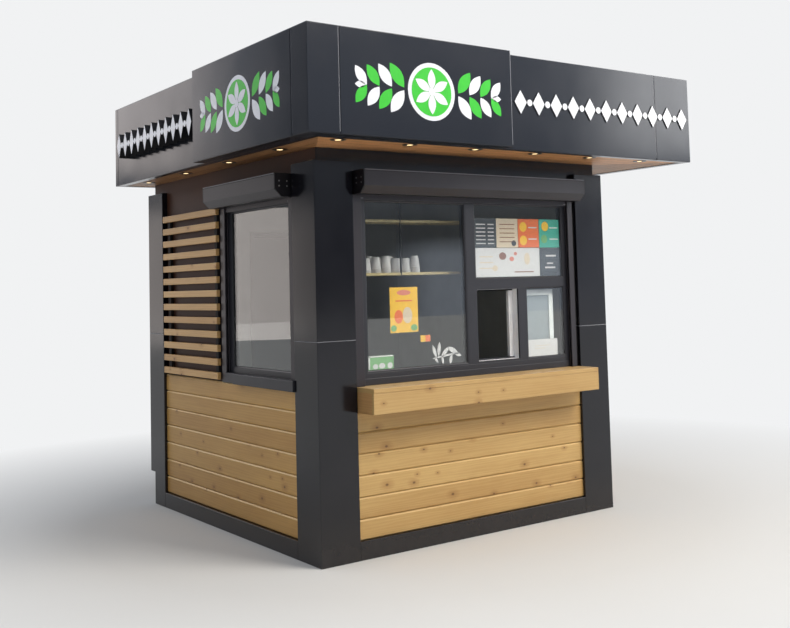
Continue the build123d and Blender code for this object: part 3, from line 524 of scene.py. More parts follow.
def boarding(name, node, axis, out, finish, highlight_finish):
    """Level boards over a node's solids, facing out along an axis, painted highlights on upper
    chamfers.

    Each board has its outer edges chamfered and a tongue deep in the joint below it.
    """
    chamfer, tongue_depth = 0.008, 0.015
    shape = bmesh.new()
    for low, high in solids(node):
        heights = [low.z]
        row = 1
        while board_start + row * board_pitch < high.z - 0.02:
            heights.append(board_start + row * board_pitch)
            row += 1
        heights.append(high.z)
        face = high[axis] if out > 0 else low[axis]
        for bottom, top in zip(heights, heights[1:]):
            corner_low, corner_high = low.copy(), high.copy()
            corner_low.z = bottom if bottom == low.z else bottom + joint_gap
            corner_high.z = top
            level = (corner_low.z, top)
            block(
                shape,
                corner_low,
                corner_high,
                chamfer,
                1,
                lambda at: abs(at[axis] - face) < 1e-5 and min(abs(at.z - z) for z in level) < 1e-5,
            )
            if bottom > low.z:
                tongue_low, tongue_high = low.copy(), high.copy()
                tongue_low.z, tongue_high.z = bottom, corner_low.z
                if out > 0:
                    tongue_high[axis] -= tongue_depth
                else:
                    tongue_low[axis] += tongue_depth
                block(shape, tongue_low, tongue_high)
    # The upper chamfers take the painted highlight
    finishes = [finish, highlight_finish]
    piece(name, shape, finishes, [node], lambda f: 1 if 0.4 < f.normal.z < 0.9 else 0)


boarding("front_pine_boards", "front_boards", Y, -1, pine_front, pine_front_painted_highlight)
# The side boards carry a slightly deeper tone as painted shade
boarding("left_pine_boards", "left_boards", X, -1, pine_side_painted_shade, pine_side_painted_highlight)
boarding("right_pine_boards", "right_boards", X, 1, pine_side_painted_shade, pine_side_painted_highlight)
boarding("rear_pine_boards", "rear_boards", Y, 1, pine_front, pine_front_painted_highlight)

eased_copy("front_header_panel", "front_header", cladding_painted_light, 0.0015)
# The panel behind the slats is painted with the reflection of the slats' backs
eased_copy("left_cladding_panel", "left_upper_panel", painted_slat_reflection, 0.0015)


def jointed(name, node, axis, places):
    """Cladding cut into sheets by upright joints 3 mm wide, with a dark strip deep in each."""
    half_joint, half_strip = 0.0015, 0.002
    shape = copy_of(node)
    low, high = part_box(node)
    along = X if axis == Y else Y
    across = Vector([1 if k == along else 0 for k in (X, Y, Z)])
    for place in places:
        for side in (-1, 1):
            at = across * (place + side * half_joint)
            whole = list(shape.verts) + list(shape.edges) + list(shape.faces)
            bmesh.ops.bisect_plane(shape, geom=whole, dist=1e-6, plane_co=at, plane_no=across)
        gone = [f for f in shape.faces if abs(f.calc_center_median()[along] - place) < 0.0014]
        bmesh.ops.delete(shape, geom=gone, context="FACES")
    bmesh.ops.holes_fill(shape, edges=[e for e in shape.edges if e.is_boundary])
    ease(shape, sharp(shape), 0.001, 2)
    for face in shape.faces:
        face.material_index = 0
    middle = (low[axis] + high[axis]) / 2
    for place in places:
        strip_low, strip_high = low.copy(), high.copy()
        strip_low[along], strip_high[along] = place - half_joint, place + half_joint
        strip_low[axis], strip_high[axis] = middle - half_strip, middle + half_strip
        strip_low.z += 0.001
        strip_high.z -= 0.001
        block(shape, strip_low, strip_high, tone=1)
    piece(name, shape, [cladding_painted_light, rubber], [node])


jointed("right_cladding_panel", "right_upper_panel", X, (-0.12, 0.60))
door_low, door_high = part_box("rear_door_frame")
door_joints = (door_low.x - 0.12, door_high.x + 0.0015)
jointed("rear_cladding_panel", "rear_upper_panel", Y, door_joints)

# Serving counter: mitred boards, so only the outer edges are eased
counter_low, counter_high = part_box("counter_top")
counter = bmesh.new()
block(
    counter,
    counter_low,
    counter_high,
    0.0025,
    3,
    lambda at: at.y < counter_low.y + 1e-5
    or (at.z > counter_high.z - 1e-5 and at.y < counter_high.y - 1e-5),
)
# The top face is a little paler, painted light from above
piece(
    "counter_top_board",
    counter,
    [pine_top_painted_light, pine_beam],
    ["counter_top"],
    lambda f: 0 if f.normal.z > 0.5 else 1,
)
front_low, front_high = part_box("counter_front")
front_low.y += 0.002
beam = bmesh.new()
block(
    beam,
    front_low,
    front_high,
    0.004,
    3,
    lambda at: at.y < front_low.y + 1e-5
    and (at.z < front_low.z + 1e-5 or at.z > front_high.z - 1e-5),
)
piece("counter_front_board", beam, pine_beam, ["counter_front"])
# The ends are a deeper tone, partly end grain and partly painted shade
dress("counter_ends", pine_end_painted_shade)
dress("counter_underside", pine_beam)

# Windows: a dark profile in two layers that clasp the glass, with beads in the wider, outer one
bite = 0.012
bead_width = 0.015
outer_depth = 0.0285
profile_depth = 0.060


def frame_layers(shape, low, high, opening, axis):
    """Make each layer of a profile round an opening; gives its width, depths and clear corners."""
    for shy, start, end in ((bead_width, 0.0, outer_depth), (0.0, outer_depth, profile_depth)):
        near, far = low[axis] + start, low[axis] + end
        clear = grown(*opening, shy, axis)
        levels = [(low, high, near), (*clear, near), (*clear, far), (low, high, far)]
        ring(shape, axis, levels, 0.0015)
        yield shy, near, far, clear


def window(name, shape, axis, outer):
    """The profile of a window as a piece: dark foil outside, white on the room side."""
    room_side = outer + profile_depth - 0.005

    def side(face):
        return 1 if face.normal[axis] > 0.9 and face.calc_center_median()[axis] > room_side else 0

    finishes = [window_foil, white_profile]
    piece(name + "_profile", shape, finishes, [name + "_frame"], side)


def beads(name, clears, axis, outer, glass_face):
    """Sloped glazing beads inside the profile, each with a rubber lip on the glass."""
    bead = bmesh.new()
    lip = bmesh.new()
    seat = glass_face - 0.0002
    for low, high in clears:
        wide, shoulder, lip_edge = (
            grown(low, high, amount, axis) for amount in (bead_width, 0.007, -0.0025)
        )
        slope = [(*wide, outer + 0.001), (*shoulder, outer + 0.001), (low, high, outer + 0.0062)]
        ring(bead, axis, slope + [(low, high, seat), (*wide, seat)])
        tip = [(low, high, outer + 0.0064), (*lip_edge, seat - 0.0006), (*lip_edge, seat)]
        ring(lip, axis, tip + [(low, high, seat)])
    piece(name + "_beads", bead, window_foil)
    piece(name + "_gaskets", lip, rubber)


# Front window: left pane, upper and lower right panes, and the hatch between the lower rails
frame_low, frame_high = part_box("front_window_frame")
frame_back = frame_low.y + profile_depth
panes = [grown(low, high, -bite, Y) for low, high in solids("front_window_glass")]
left_pane, upper_pane, lower_pane = sorted(panes, key=lambda p: (p[0].x > -0.1, -p[0].z))
pane_left, pane_right = upper_pane[0].x, upper_pane[1].x
hatch_low = Vector((pane_left, 0, lower_pane[0].z))
hatch_high = Vector((lower_pane[0].x - 0.085, 0, lower_pane[1].z))
opening = (
    Vector((left_pane[0].x, 0, left_pane[0].z)),
    Vector((pane_right, 0, left_pane[1].z)),
)
profile = bmesh.new()
for shy, near, far, clear in frame_layers(profile, frame_low, frame_high, opening, Y):
    # Mullion, transom and hatch post
    bars = [
        ((left_pane[1].x + shy, clear[0].z), (pane_left - shy, clear[1].z)),
        ((pane_left - shy, lower_pane[1].z + shy), (clear[1].x, upper_pane[0].z - shy)),
        ((hatch_high.x, clear[0].z), (lower_pane[0].x - shy, lower_pane[1].z + shy)),
    ]
    if shy:
        # The hatch has no bead, so the outer layer is made up to its edge on three sides
        bars += [
            ((hatch_low.x - shy, clear[0].z), (hatch_low.x, lower_pane[1].z + shy)),
            ((hatch_low.x, clear[0].z), (hatch_high.x, hatch_low.z)),
            ((hatch_low.x, hatch_high.z), (hatch_high.x, hatch_high.z + shy)),
        ]
    for (x0, z0), (x1, z1) in bars:
        block(profile, (x0, near, z0), (x1, far, z1))
# Tracks of the sash: three ribs and a plate behind the rails below and above it
track_left, track_right, half_track = pane_left - 0.01, opening[1].x + 0.01, 0.010
for z, plate_top in ((opening[0].z, -0.004), (lower_pane[1].z, half_track)):
    for rib in (frame_back, frame_back + 0.0135, frame_back + 0.031):
        rib_high = (track_right, rib + 0.003, z + half_track)
        block(profile, (track_left, rib, z - half_track), rib_high)
    plate_high = (track_right, frame_high.y, z + plate_top)
    block(profile, (track_left, frame_back, z - half_track), plate_high)
# The sill section under the bottom rail stands a little proud of it
block(
    profile,
    (frame_low.x + 0.001, frame_low.y - 0.004, frame_low.z),
    (frame_high.x - 0.001, frame_low.y + 0.002, frame_low.z + 0.043),
    0.002,
    2,
)
window("front_window", profile, Y, frame_low.y)

# White lining of the hatch, behind the dark outer edge of its post
lining = bmesh.new()
lining_start = frame_low.y + 0.014
outer_edge = grown(hatch_low, hatch_high, 0.001, Y)
inner_edge = grown(hatch_low, hatch_high, -0.0015, Y)
front_lines = [(*outer_edge, lining_start), (*inner_edge, lining_start)]
ring(lining, Y, front_lines + [(*inner_edge, frame_back), (*outer_edge, frame_back)])
piece("hatch_lining", lining, white_profile)
beads("front_window", panes, Y, frame_low.y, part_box("front_window_glass")[0].y)
for node in ("front_window_glass", "left_window_glass", "sliding_sash_glass"):
    dress(node, glass)

# Sliding sash, white inside and out, with its pull, and frosted film on its glass
sash_low, sash_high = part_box("sliding_sash")
glass_low, glass_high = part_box("sliding_sash_glass")
clear = grown(glass_low, glass_high, -bite, Y)
sash = bmesh.new()
front_lines = [(sash_low, sash_high, sash_low.y), (*clear, sash_low.y)]
ring(sash, Y, front_lines + [(*clear, sash_high.y), (sash_low, sash_high, sash_high.y)], 0.003, 3)
pull_low = (sash_low.x + 0.012, sash_low.y - 0.006, 1.34)
block(sash, pull_low, (sash_low.x + 0.024, sash_low.y + 0.002, 1.46), 0.002, 2)
piece("sliding_sash_frame", sash, white_profile, ["sliding_sash"])
film = bmesh.new()
film_low = (glass_low.x + bite, glass_low.y - 0.0012, glass_low.z + bite)
block(film, film_low, (glass_high.x - bite, glass_low.y - 0.0004, glass_high.z - bite))
piece("sash_frosted_film", film, frosted_film)

# Left window with its sill
side_low, side_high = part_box("left_window_frame")
side_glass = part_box("left_window_glass")
side_clear = grown(*side_glass, -bite, X)
profile = bmesh.new()
list(frame_layers(profile, side_low, side_high, side_clear, X))
window("left_window", profile, X, side_low.x)
beads("left_window", [side_clear], X, side_low.x, side_glass[0].x)
eased_copy("left_sill_profile", "left_window_sill", window_foil, 0.004, 3)

# Roller shutters: boxes, caps with their four screws, rails and bottom bars
for name, node, finish, edge, steps in (
    ("front_shutter_cover", "front_shutter_box", shutter_metal, 0.0015, 2),
    ("left_shutter_cover", "left_shutter_box", shutter_metal, 0.0015, 2),
    ("shutter_cast_caps", "shutter_end_caps", black_cap, 0.002, 2),
    ("shutter_rails", "shutter_guides", shutter_metal, 0.003, 3),
    ("shutter_bars", "shutter_bottom_bars", shutter_metal, 0.002, 2),
):
    eased_copy(name, node, finish, edge, steps)
cap_screws = bmesh.new()
caps = solids("shutter_end_caps")
for low, high in caps:
    axis, across = (X, Y) if high.x - low.x < high.y - low.y else (Y, X)
    middle = (low + high) / 2
    # The two caps of one box have the same height and thin side; each faces away from the other
    pair = [c for c in caps if (c[1] - c[0])[axis] < 0.02 and abs(c[0].z - low.z) < 1e-3]
    centre = sum((c[0][axis] + c[1][axis]) / 2 for c in pair) / len(pair)
    out = -1 if middle[axis] < centre else 1
    face = high[axis] if out > 0 else low[axis]
    for du in (-0.042, 0.014):
        for dz in (-0.007, 0.025):
            place = middle.copy()
            place[axis] = face + out * 0.0002
            place[across] += du
            place.z += dz
            screw(cap_screws, place, axis, 0.0055)
piece("shutter_cap_screws", cap_screws, zinc, smooth=True)

# A lip along the top of each box, pale as a painted highlight, over a dark joint, and the plates at
# the ends of each bar
lips = bmesh.new()
for node, axis in (("front_shutter_box", Y), ("left_shutter_box", X)):
    low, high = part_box(node)
    for top, height, proud, tone in ((0.0, 0.005, 0.0015, 0), (0.007, 0.003, 0.0004, 1)):
        strip_low, strip_high = low.copy(), high.copy()
        strip_low.z, strip_high.z = high.z - top - height, high.z - top
        strip_low[axis], strip_high[axis] = low[axis] - proud, low[axis] + 0.002
        block(lips, strip_low, strip_high, tone=tone)
for low, high in solids("shutter_bottom_bars"):
    along, axis = (X, Y) if high.x - low.x > high.y - low.y else (Y, X)
    for end in (low[along] + 0.030, high[along] - 0.048):
        plate_low, plate_high = low.copy(), high.copy()
        plate_low[along], plate_high[along] = end, end + 0.018
        plate_low[axis], plate_high[axis] = low[axis] - 0.001, low[axis] + 0.001
        plate_low.z, plate_high.z = low.z + 0.008, low.z + 0.014
        block(lips, plate_low, plate_high)
piece("shutter_lips", lips, [lip_highlight_and_plates, rubber])

# Slat screen
slats = bmesh.new()
for low, high in solids("slat_screen"):
    block(slats, low, high, 0.003, 2)
piece("pine_slats", slats, pine_slat, ["slat_screen"])
dress("slat_bearers", matte_black)

# Fascia, sign cassettes and roof
roof_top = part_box("front_fascia")[1].z


def painted_top_highlight(face):
    """1 on the folded edge along the top of a fascia panel, painted as a highlight, 0 elsewhere."""
    return 1 if face.calc_center_median().z > roof_top - 0.0045 and face.normal.z < 0.99 else 0


# The folded top edge of each panel takes a painted highlight
for node in ("front_fascia", "left_fascia", "right_fascia", "rear_fascia"):
    eased_copy(node + "_panel", node, [cladding_painted_light, joint_strip_and_highlight], 0.004, 2, painted_top_highlight)

# Sign cassettes: the faces lie 6 mm behind the outline, which leaves room for the raised ornament
face_setback = 0.006
corner_box, front_box, left_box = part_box("corner_sign"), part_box("front_sign"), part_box("left_sign")
sign_front, sign_left = front_box[0].y, left_box[0].x
for node in ("corner_sign", "front_sign", "left_sign"):
    shape = copy_of(node)
    for v in shape.verts:
        for axis, outer in ((Y, sign_front), (X, sign_left)):
            if abs(v.co[axis] - outer) < 1e-4:
                v.co[axis] += face_setback
    ease(shape, sharp(shape), 0.003, 2)
    piece(node + "_cassette", shape, [cladding_painted_light, joint_strip_and_highlight], [node], painted_top_highlight)

# Bright strips in the upright joints of the signs and of the front fascia, and a painted highlight
# along the right folded edge of the front sign
joint_strips_and_highlight = bmesh.new()
first_part, second_part = sorted(solids("front_fascia"), key=lambda box: box[0].x)[:2]
fascia_front = first_part[0].y
sign_face = sign_front + face_setback
for x0, x1, y0, y1 in (
    (corner_box[1].x - 0.001, front_box[0].x + 0.001, sign_front + 0.0075, sign_front + 0.020),
    (sign_left + 0.0075, sign_left + 0.020, corner_box[1].y - 0.001, left_box[0].y + 0.001),
    (first_part[1].x - 0.001, second_part[0].x + 0.001, fascia_front + 0.002, fascia_front + 0.012),
    # A painted highlight on the right folded edge of the front sign
    (front_box[1].x - 0.0045, front_box[1].x - 0.0005, sign_face - 0.0006, sign_face + 0.002),
):
    block(joint_strips_and_highlight, (x0, y0, corner_box[0].z + 0.016), (x1, y1, roof_top - 0.003))
piece("sign_joint_strips_and_edge_highlight", joint_strips_and_highlight, joint_strip_and_highlight)

# Roof membrane: three lapped seams and an upstand round the edge
dress("roof_deck", membrane)
deck_low, deck_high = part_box("roof_deck")
top = deck_high.z
half_lap = 0.025
seams = bmesh.new()
for lap in range(1, 4):
    at = deck_low.y + lap * (deck_high.y - deck_low.y) / 4
    lap_low = (deck_low.x + 0.002, at - half_lap, top - 0.0005)
    block(seams, lap_low, (deck_high.x - 0.002, at + half_lap, top + 0.003), 0.001, 1)
upstand = [
    (deck_low, deck_high, top),
    (deck_low, deck_high, top + 0.08),
    (*grown(deck_low, deck_high, -0.012, Z), top + 0.07),
    (*grown(deck_low, deck_high, -0.05, Z), top),
]
ring(seams, Z, upstand)
piece("roof_membrane_seams", seams, membrane)

# Soffit, its lining boards laid along each side of the eaves
wall_low, wall_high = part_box("left_wall")[0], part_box("right_wall")[1]
eave_low, eave_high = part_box("soffit")


def soffit_side(face):
    """0 on the front and rear eaves, 1 on the two side eaves, split along the mitres."""
    at = face.calc_center_median()
    past_x, past_y = (
        max(
            (wall_low[k] - at[k]) / (wall_low[k] - eave_low[k]),
            (at[k] - wall_high[k]) / (eave_high[k] - wall_high[k]),
        )
        for k in (X, Y)
    )
    return 1 if past_x > past_y else 0


# The front and rear eaves take the painted light, the side eaves the painted shade
linings = [lining_front_painted_light, lining_side_painted_shade]
piece("soffit_lining", copy_of("soffit"), linings, ["soffit"], soffit_side)

# Lamps: a wide dark rim round a warm lens, as (radius, height) points
rim_dish = [(0.0, 0.010), (0.0235, 0.010), (0.0235, 0.006), (0.0245, 0.0012), (0.028, 0.0)]
rim_face = [(0.045, 0.0005), (0.0493, 0.0025), (0.05, 0.004)]
rim_can = [(0.039, 0.004), (0.039, 0.040), (0.0, 0.040)]
lens_front = [(0.0, 0.0008), (0.012, 0.0012), (0.0195, 0.0022), (0.0232, 0.0045)]
lens_back = [(0.0232, 0.009), (0.0, 0.009)]
rims = bmesh.new()
lenses = bmesh.new()
for low, high in solids("soffit_lamps"):
    centre = Vector(((low.x + high.x) / 2, (low.y + high.y) / 2, low.z))
    turned(rims, rim_dish + rim_face + rim_can, centre)
    turned(lenses, lens_front + lens_back, centre, 20)
piece("lamp_rims", rims, lamp_bronze, ["soffit_lamps"], smooth=True)
piece("lamp_lenses", lenses, lens, smooth=True)

# Raised ornament on the signs, in the white, green and black of cut acrylic
on_front = Matrix(((1, 0, 0, 0), (0, 0, -1, 0), (0, 1, 0, 0), (0, 0, 0, 1)))
on_left = Matrix(((0, 0, -1, 0), (-1, 0, 0, 0), (0, 1, 0, 0), (0, 0, 0, 1)))


def badge(shape, wall, form, centre, size, turn=0.0, depth=0.01, tone=0, base=0.0, side_tone=2):
    """A raised disc, leaf, lozenge or bar on a wall; tones are its face's and its sides' finish."""
    points = {"disc": 40, "leaf": 28, "lozenge": 4, "bar": 4}[form]
    reach = 2**0.5 if form == "bar" else 1.0
    made = bmesh.ops.create_circle(shape, cap_ends=True, radius=reach, segments=points)["verts"]
    if form == "bar":
        bmesh.ops.rotate(shape, matrix=Matrix.Rotation(math.pi / 4, 3, "Z"), verts=made)
    if form == "leaf":
        for v in made:
            v.co.y *= max(0.0, 1 - v.co.x**2) ** 0.5
    face = made[0].link_faces[0]
    face.material_index = tone
    raised = bmesh.ops.extrude_face_region(shape, geom=[face])["geom"]
    top = [g for g in raised if isinstance(g, bmesh.types.BMVert)]
    for side in {f for v in top for f in v.link_faces} - set(raised):
        side.material_index = side_tone
    whole = made + top
    bmesh.ops.translate(shape, vec=(0, 0, 1), verts=top)
    bmesh.ops.scale(shape, vec=(size[0] / 2, size[1] / 2, depth), verts=whole)
    bmesh.ops.rotate(shape, matrix=Matrix.Rotation(turn, 3, "Z"), verts=whole)
    bmesh.ops.translate(shape, vec=(centre[0], centre[1], base), verts=whole)
    bmesh.ops.transform(shape, matrix=wall, verts=whole)


def garland(shape, wall, depth):
    """A rosette between two leafy sprigs, in three thin layers on the sign face."""
    layer, petal_out = 0.001, 0.074
    badge(shape, wall, "disc", (0, 0), (0.355, 0.355), 0, depth, 0)
    badge(shape, wall, "disc", (0, 0), (0.30, 0.30), 0, layer, 1, depth)
    for petal in range(6):
        angle = math.pi / 6 + petal * math.pi / 3
        centre = (petal_out * math.cos(angle), petal_out * math.sin(angle))
        badge(shape, wall, "leaf", centre, (0.13, 0.058), angle, layer, 0, depth + layer)
    badge(shape, wall, "disc", (0, 0), (0.05, 0.05), 0, 0.0012, 0, depth + 2 * layer)
    for side in (-1, 1):
        for pair in range(4):
            reach = side * (0.235 + pair * 0.085)
            size = (0.170 - pair * 0.012, 0.080 - pair * 0.005)
            for up in (-1, 1):
                centre = (reach + side * 0.02, up * (0.078 - pair * 0.008))
                tone = (pair + (up > 0)) % 2
                badge(shape, wall, "leaf", centre, size, side * up * 0.95, depth, tone)
        badge(shape, wall, "leaf", (side * 0.515, 0), (0.075, 0.04), 0, depth, 0)


def frieze(shape, wall, start, end, height, middle, depth):
    """A row of eleven lozenges with dots between."""
    count = 11
    pitch = (end - start) / (count - 0.32)
    for place in range(count):
        at = start + pitch * (place + 0.34)
        badge(shape, wall, "lozenge", (at, middle), (pitch * 0.66, height), 0, depth, 0)
        if place < count - 1:
            badge(shape, wall, "disc", (at + pitch / 2, middle), (0.045, 0.045), 0, depth, 0)


front_wall, left_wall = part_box("front_fascia")[0].y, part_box("left_fascia")[0].x
for side, wall, emblem_at, wall_at, row in (
    (
        "front",
        on_front,
        (-0.813, sign_front + face_setback, 2.8475),
        (0, front_wall, 0),
        (-0.0740, 1.6480, 0.158, 2.8655, 0.008),
    ),
    (
        "left",
        on_left,
        (sign_left + face_setback, -0.76, 2.845),
        (left_wall, 0, 0),
        (-1.37, 0.055, 0.19, 2.835, 0.085),
    ),
):
    sign_finishes = [white_acrylic, green_acrylic, return_black]
    emblem = bmesh.new()
    garland(emblem, Matrix.Translation(emblem_at) @ wall, 0.0025)
    piece(side + "_garland", emblem, sign_finishes)
    lozenges = bmesh.new()
    frieze(lozenges, Matrix.Translation(wall_at) @ wall, *row)
    piece(side + "_frieze", lozenges, sign_finishes)

# Rear door with its lever handle and lock
eased_copy("rear_door_casing", "rear_door_frame", door_coat, 0.002)
eased_copy("rear_door_leaf", "rear_door", door_coat, 0.002)
eased_copy("rear_door_hinges", "door_hinges", zinc, 0.001)
leaf_low, leaf_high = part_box("rear_door")
leaf_face = leaf_high.y
at_x, at_z = leaf_low.x + 0.060, 1.02 + leaf_low.z
handle = bmesh.new()
plate_low = (at_x - 0.020, leaf_face - 0.001, at_z - 0.150)
block(handle, plate_low, (at_x + 0.020, leaf_face + 0.009, at_z + 0.090), 0.004, 3)
# The spindle of the lever and, below it, the lock
for height, radius, reach in ((0.0, 0.010, 0.052), (-0.095, 0.0145, 0.016)):
    bar = dict(cap_ends=True, segments=24, radius1=radius, radius2=radius, depth=reach)
    shaft = bmesh.ops.create_cone(handle, **bar)["verts"]
    bmesh.ops.rotate(handle, matrix=Matrix.Rotation(math.pi / 2, 3, "X"), verts=shaft)
    shaft_at = (at_x, leaf_face + 0.004 + reach / 2, at_z + height)
    bmesh.ops.translate(handle, vec=shaft_at, verts=shaft)
lever_low = (at_x - 0.011, leaf_face + 0.042, at_z - 0.009)
block(handle, lever_low, (at_x + 0.125, leaf_face + 0.056, at_z + 0.009), 0.006, 4)
piece("rear_door_lever", handle, zinc)
seal = bmesh.new()
jamb = grown(leaf_low, leaf_high, 0.003, Y)
outer, inner = leaf_face - 0.012, leaf_face - 0.016
outer_lines = [(*jamb, outer), (leaf_low, leaf_high, outer)]
ring(seal, Y, outer_lines + [(leaf_low, leaf_high, inner), (*jamb, inner)])
piece("rear_door_seal", seal, rubber)

# Shelves with stacked paper cups, each stack with two to four rims under the top cup
shelves = bmesh.new()
for low, high in solids("hanging_shelves"):
    block(shelves, low, high, 0.001, 1)
piece("display_shelves", shelves, shelf_ply, ["hanging_shelves"])
dress("shelf_rods", rubber)
cups = bmesh.new()
random.seed(7)
lower_shelf = min(solids("hanging_shelves"), key=lambda box: box[0].z)
rim_pitch, first_rim = 0.008, 0.005
for place in range(14):
    row, column = divmod(place, 7)
    at_y = lower_shelf[0].y + 0.055 + row * 0.08
    centre = Vector((-0.915 + column * 0.079, at_y, lower_shelf[1].z))
    stack = [(0.0, 0.0), (0.036, 0.0), (0.037, 0.004)]
    rim_count = 2 + random.randrange(3)
    for rim in range(rim_count):
        z = first_rim + rim * rim_pitch
        stack += [(0.035, z), (0.0365, z + 0.005), (0.037, z + 0.0065)]
    top = first_rim + rim_count * rim_pitch
    stack += [(0.035, top), (0.0265, top + 0.074), (0.025, top + 0.076), (0.0, top + 0.073)]
    turned(cups, stack, centre, 20)
piece("stacked_paper_cups", cups, white_card, smooth=True)

# Printed sheets behind the panes
behind_glass = solids("front_window_glass")[0][1].y + 0.0003
on_card = Matrix.Translation((0, behind_glass + 0.0009, 0)) @ on_front


def printed(name, x0, x1, z0, z1, tone, marks):
    """A card sheet on the room side of the glass; marks are (form, x, z, width, height, tone).

    Places and sizes of marks are shares of the sheet's. Each mark is rooted 0.1 mm deep in the
    card and stands 0.5 mm proud of it, thicker than ink so that it shows.
    """
    sheet = bmesh.new()
    block(sheet, (x0, behind_glass + 0.0008, z0), (x1, behind_glass + 0.0014, z1))
    wide, tall = x1 - x0, z1 - z0
    tones = [card_tones[tone]]
    for form, u, v, width, height, mark_tone in marks:
        if card_tones[mark_tone] not in tones:
            tones.append(card_tones[mark_tone])
        number = tones.index(card_tones[mark_tone])
        centre = (x0 + u * wide, z0 + v * tall)
        size = (width * wide, height * tall)
        badge(sheet, on_card, form, centre, size, 0, 0.0006, number, 0, number)
    piece(name, sheet, tones)


def list_sheet(name, first, last, low, high, tone, marks):
    """A sheet over some of the four columns of the upper right pane, with 3 mm to the next."""
    printed(name, pane_x + first * column, pane_x + last * column - 0.003, low, high, tone, marks)


pane_x = pane_left + 0.004
column = (pane_right - pane_left - 0.006) / 4
low_row, high_row, row_end = 1.722, 1.927, 2.132
upper_row = (high_row, row_end)
lower_row = (low_row, high_row - 0.003)
lines = [("bar", 0.3, 0.14 + 0.13 * k, 0.42, 0.035, "white") for k in range(6)]
lines += [("bar", 0.76, 0.14 + 0.13 * k, 0.28, 0.035, "white") for k in range(6)]
list_sheet("list_sheet_slate", 0, 1, *upper_row, "slate", lines)
lines = [("bar", 0.5, 0.2 + 0.15 * k, 0.7, 0.03, "brown") for k in range(5)]
lines += [("disc", 0.8, 0.15, 0.22, 0.2, "slate")]
list_sheet("list_sheet_beige", 1, 2, *upper_row, "beige", lines)
marks = [
    ("disc", 0.25, 0.25, 0.34, 0.34, "yellow"),
    ("disc", 0.25, 0.72, 0.34, 0.34, "yellow"),
    ("bar", 0.7, 0.3, 0.4, 0.04, "white"),
    ("bar", 0.7, 0.7, 0.4, 0.04, "white"),
]
list_sheet("list_sheet_orange", 2, 3, *upper_row, "orange", marks)
marks = [
    ("disc", 0.25, 0.3, 0.3, 0.3, "leaf"),
    ("disc", 0.3, 0.75, 0.34, 0.34, "yellow"),
    ("bar", 0.72, 0.3, 0.4, 0.04, "white"),
    ("bar", 0.72, 0.7, 0.4, 0.04, "white"),
]
list_sheet("list_sheet_teal", 3, 4, *upper_row, "teal", marks)
marks = [
    ("disc", 0.42, 0.72, 0.11, 0.26, "brown"),
    ("disc", 0.56, 0.62, 0.07, 0.16, "rose"),
    ("disc", 0.62, 0.8, 0.05, 0.12, "rose"),
    ("disc", 0.8, 0.62, 0.09, 0.42, "beige"),
    ("bar", 0.17, 0.7, 0.2, 0.04, "beige"),
    ("bar", 0.17, 0.5, 0.2, 0.04, "beige"),
    ("bar", 0.17, 0.3, 0.2, 0.04, "beige"),
    ("disc", 0.3, 0.3, 0.08, 0.2, "beige"),
    ("bar", 0.75, 0.16, 0.3, 0.04, "brown"),
]
list_sheet("list_sheet_white", 0, 3, *lower_row, "white", marks)
marks = [
    ("bar", 0.55, 0.72, 0.5, 0.06, "white"),
    ("bar", 0.5, 0.45, 0.3, 0.05, "white"),
    ("bar", 0.5, 0.3, 0.5, 0.06, "white"),
]
list_sheet("list_sheet_dark", 3, 4, *lower_row, "slate", marks)
marks = [
    ("disc", 0.5, 0.88, 0.5, 0.12, "rose"),
    ("disc", 0.3, 0.35, 0.3, 0.3, "orange"),
    ("disc", 0.62, 0.38, 0.34, 0.36, "beige"),
    ("disc", 0.12, 0.1, 0.2, 0.14, "leaf"),
    ("disc", 0.85, 0.1, 0.24, 0.14, "leaf"),
    ("bar", 0.5, 0.7, 0.6, 0.03, "orange"),
]
printed("pane_poster", -0.768, -0.546, 1.375, 1.669, "yellow", marks)
marks = [("bar", 0.5, 0.62, 0.5, 0.03, "beige"), ("bar", 0.42, 0.46, 0.34, 0.03, "beige")]
note_x, note_z = lower_pane[0].x + 0.001, lower_pane[0].z + 0.002
printed("pane_note", note_x, 0.700, note_z, 1.268, "white", marks)
marks = [("bar", 0.74, 0.5, 0.5, 0.96, "orange")]
printed("pane_small_card", -0.530, -0.4495, 1.306, 1.349, "yellow", marks)
marks = [
    ("bar", 0.5, 0.94, 0.98, 0.1, "white"),
    ("disc", 0.3, 0.22, 0.2, 0.36, "white"),
    ("disc", 0.55, 0.25, 0.24, 0.4, "white"),
    ("disc", 0.86, 0.24, 0.2, 0.44, "white"),
    ("bar", 0.05, 0.5, 0.08, 0.9, "white"),
]
printed("pane_leaf_card", -0.950, -0.750, 1.150, 1.238, "leaf", marks)
sprig = bmesh.new()
on_pane = Matrix.Translation((0, behind_glass + 0.0012, 0)) @ on_front
for at_x, at_z, long, wide, turn in (
    (-0.330, 1.205, 0.230, 0.013, 0.12),
    (-0.418, 1.238, 0.090, 0.026, 1.9),
    (-0.380, 1.250, 0.096, 0.028, 1.45),
    (-0.404, 1.180, 0.050, 0.018, -0.9),
    (-0.330, 1.230, 0.088, 0.030, 0.75),
    (-0.262, 1.236, 0.105, 0.034, -0.5),
    (-0.282, 1.180, 0.074, 0.026, 1.35),
    (-0.352, 1.178, 0.056, 0.020, 1.75),
    (-0.220, 1.206, 0.060, 0.022, -0.25),
):
    badge(sprig, on_pane, "leaf", (at_x, at_z), (long, wide), turn, 0.0004, 0)
piece("pane_sprig", sprig, [white_card, white_card, white_card])

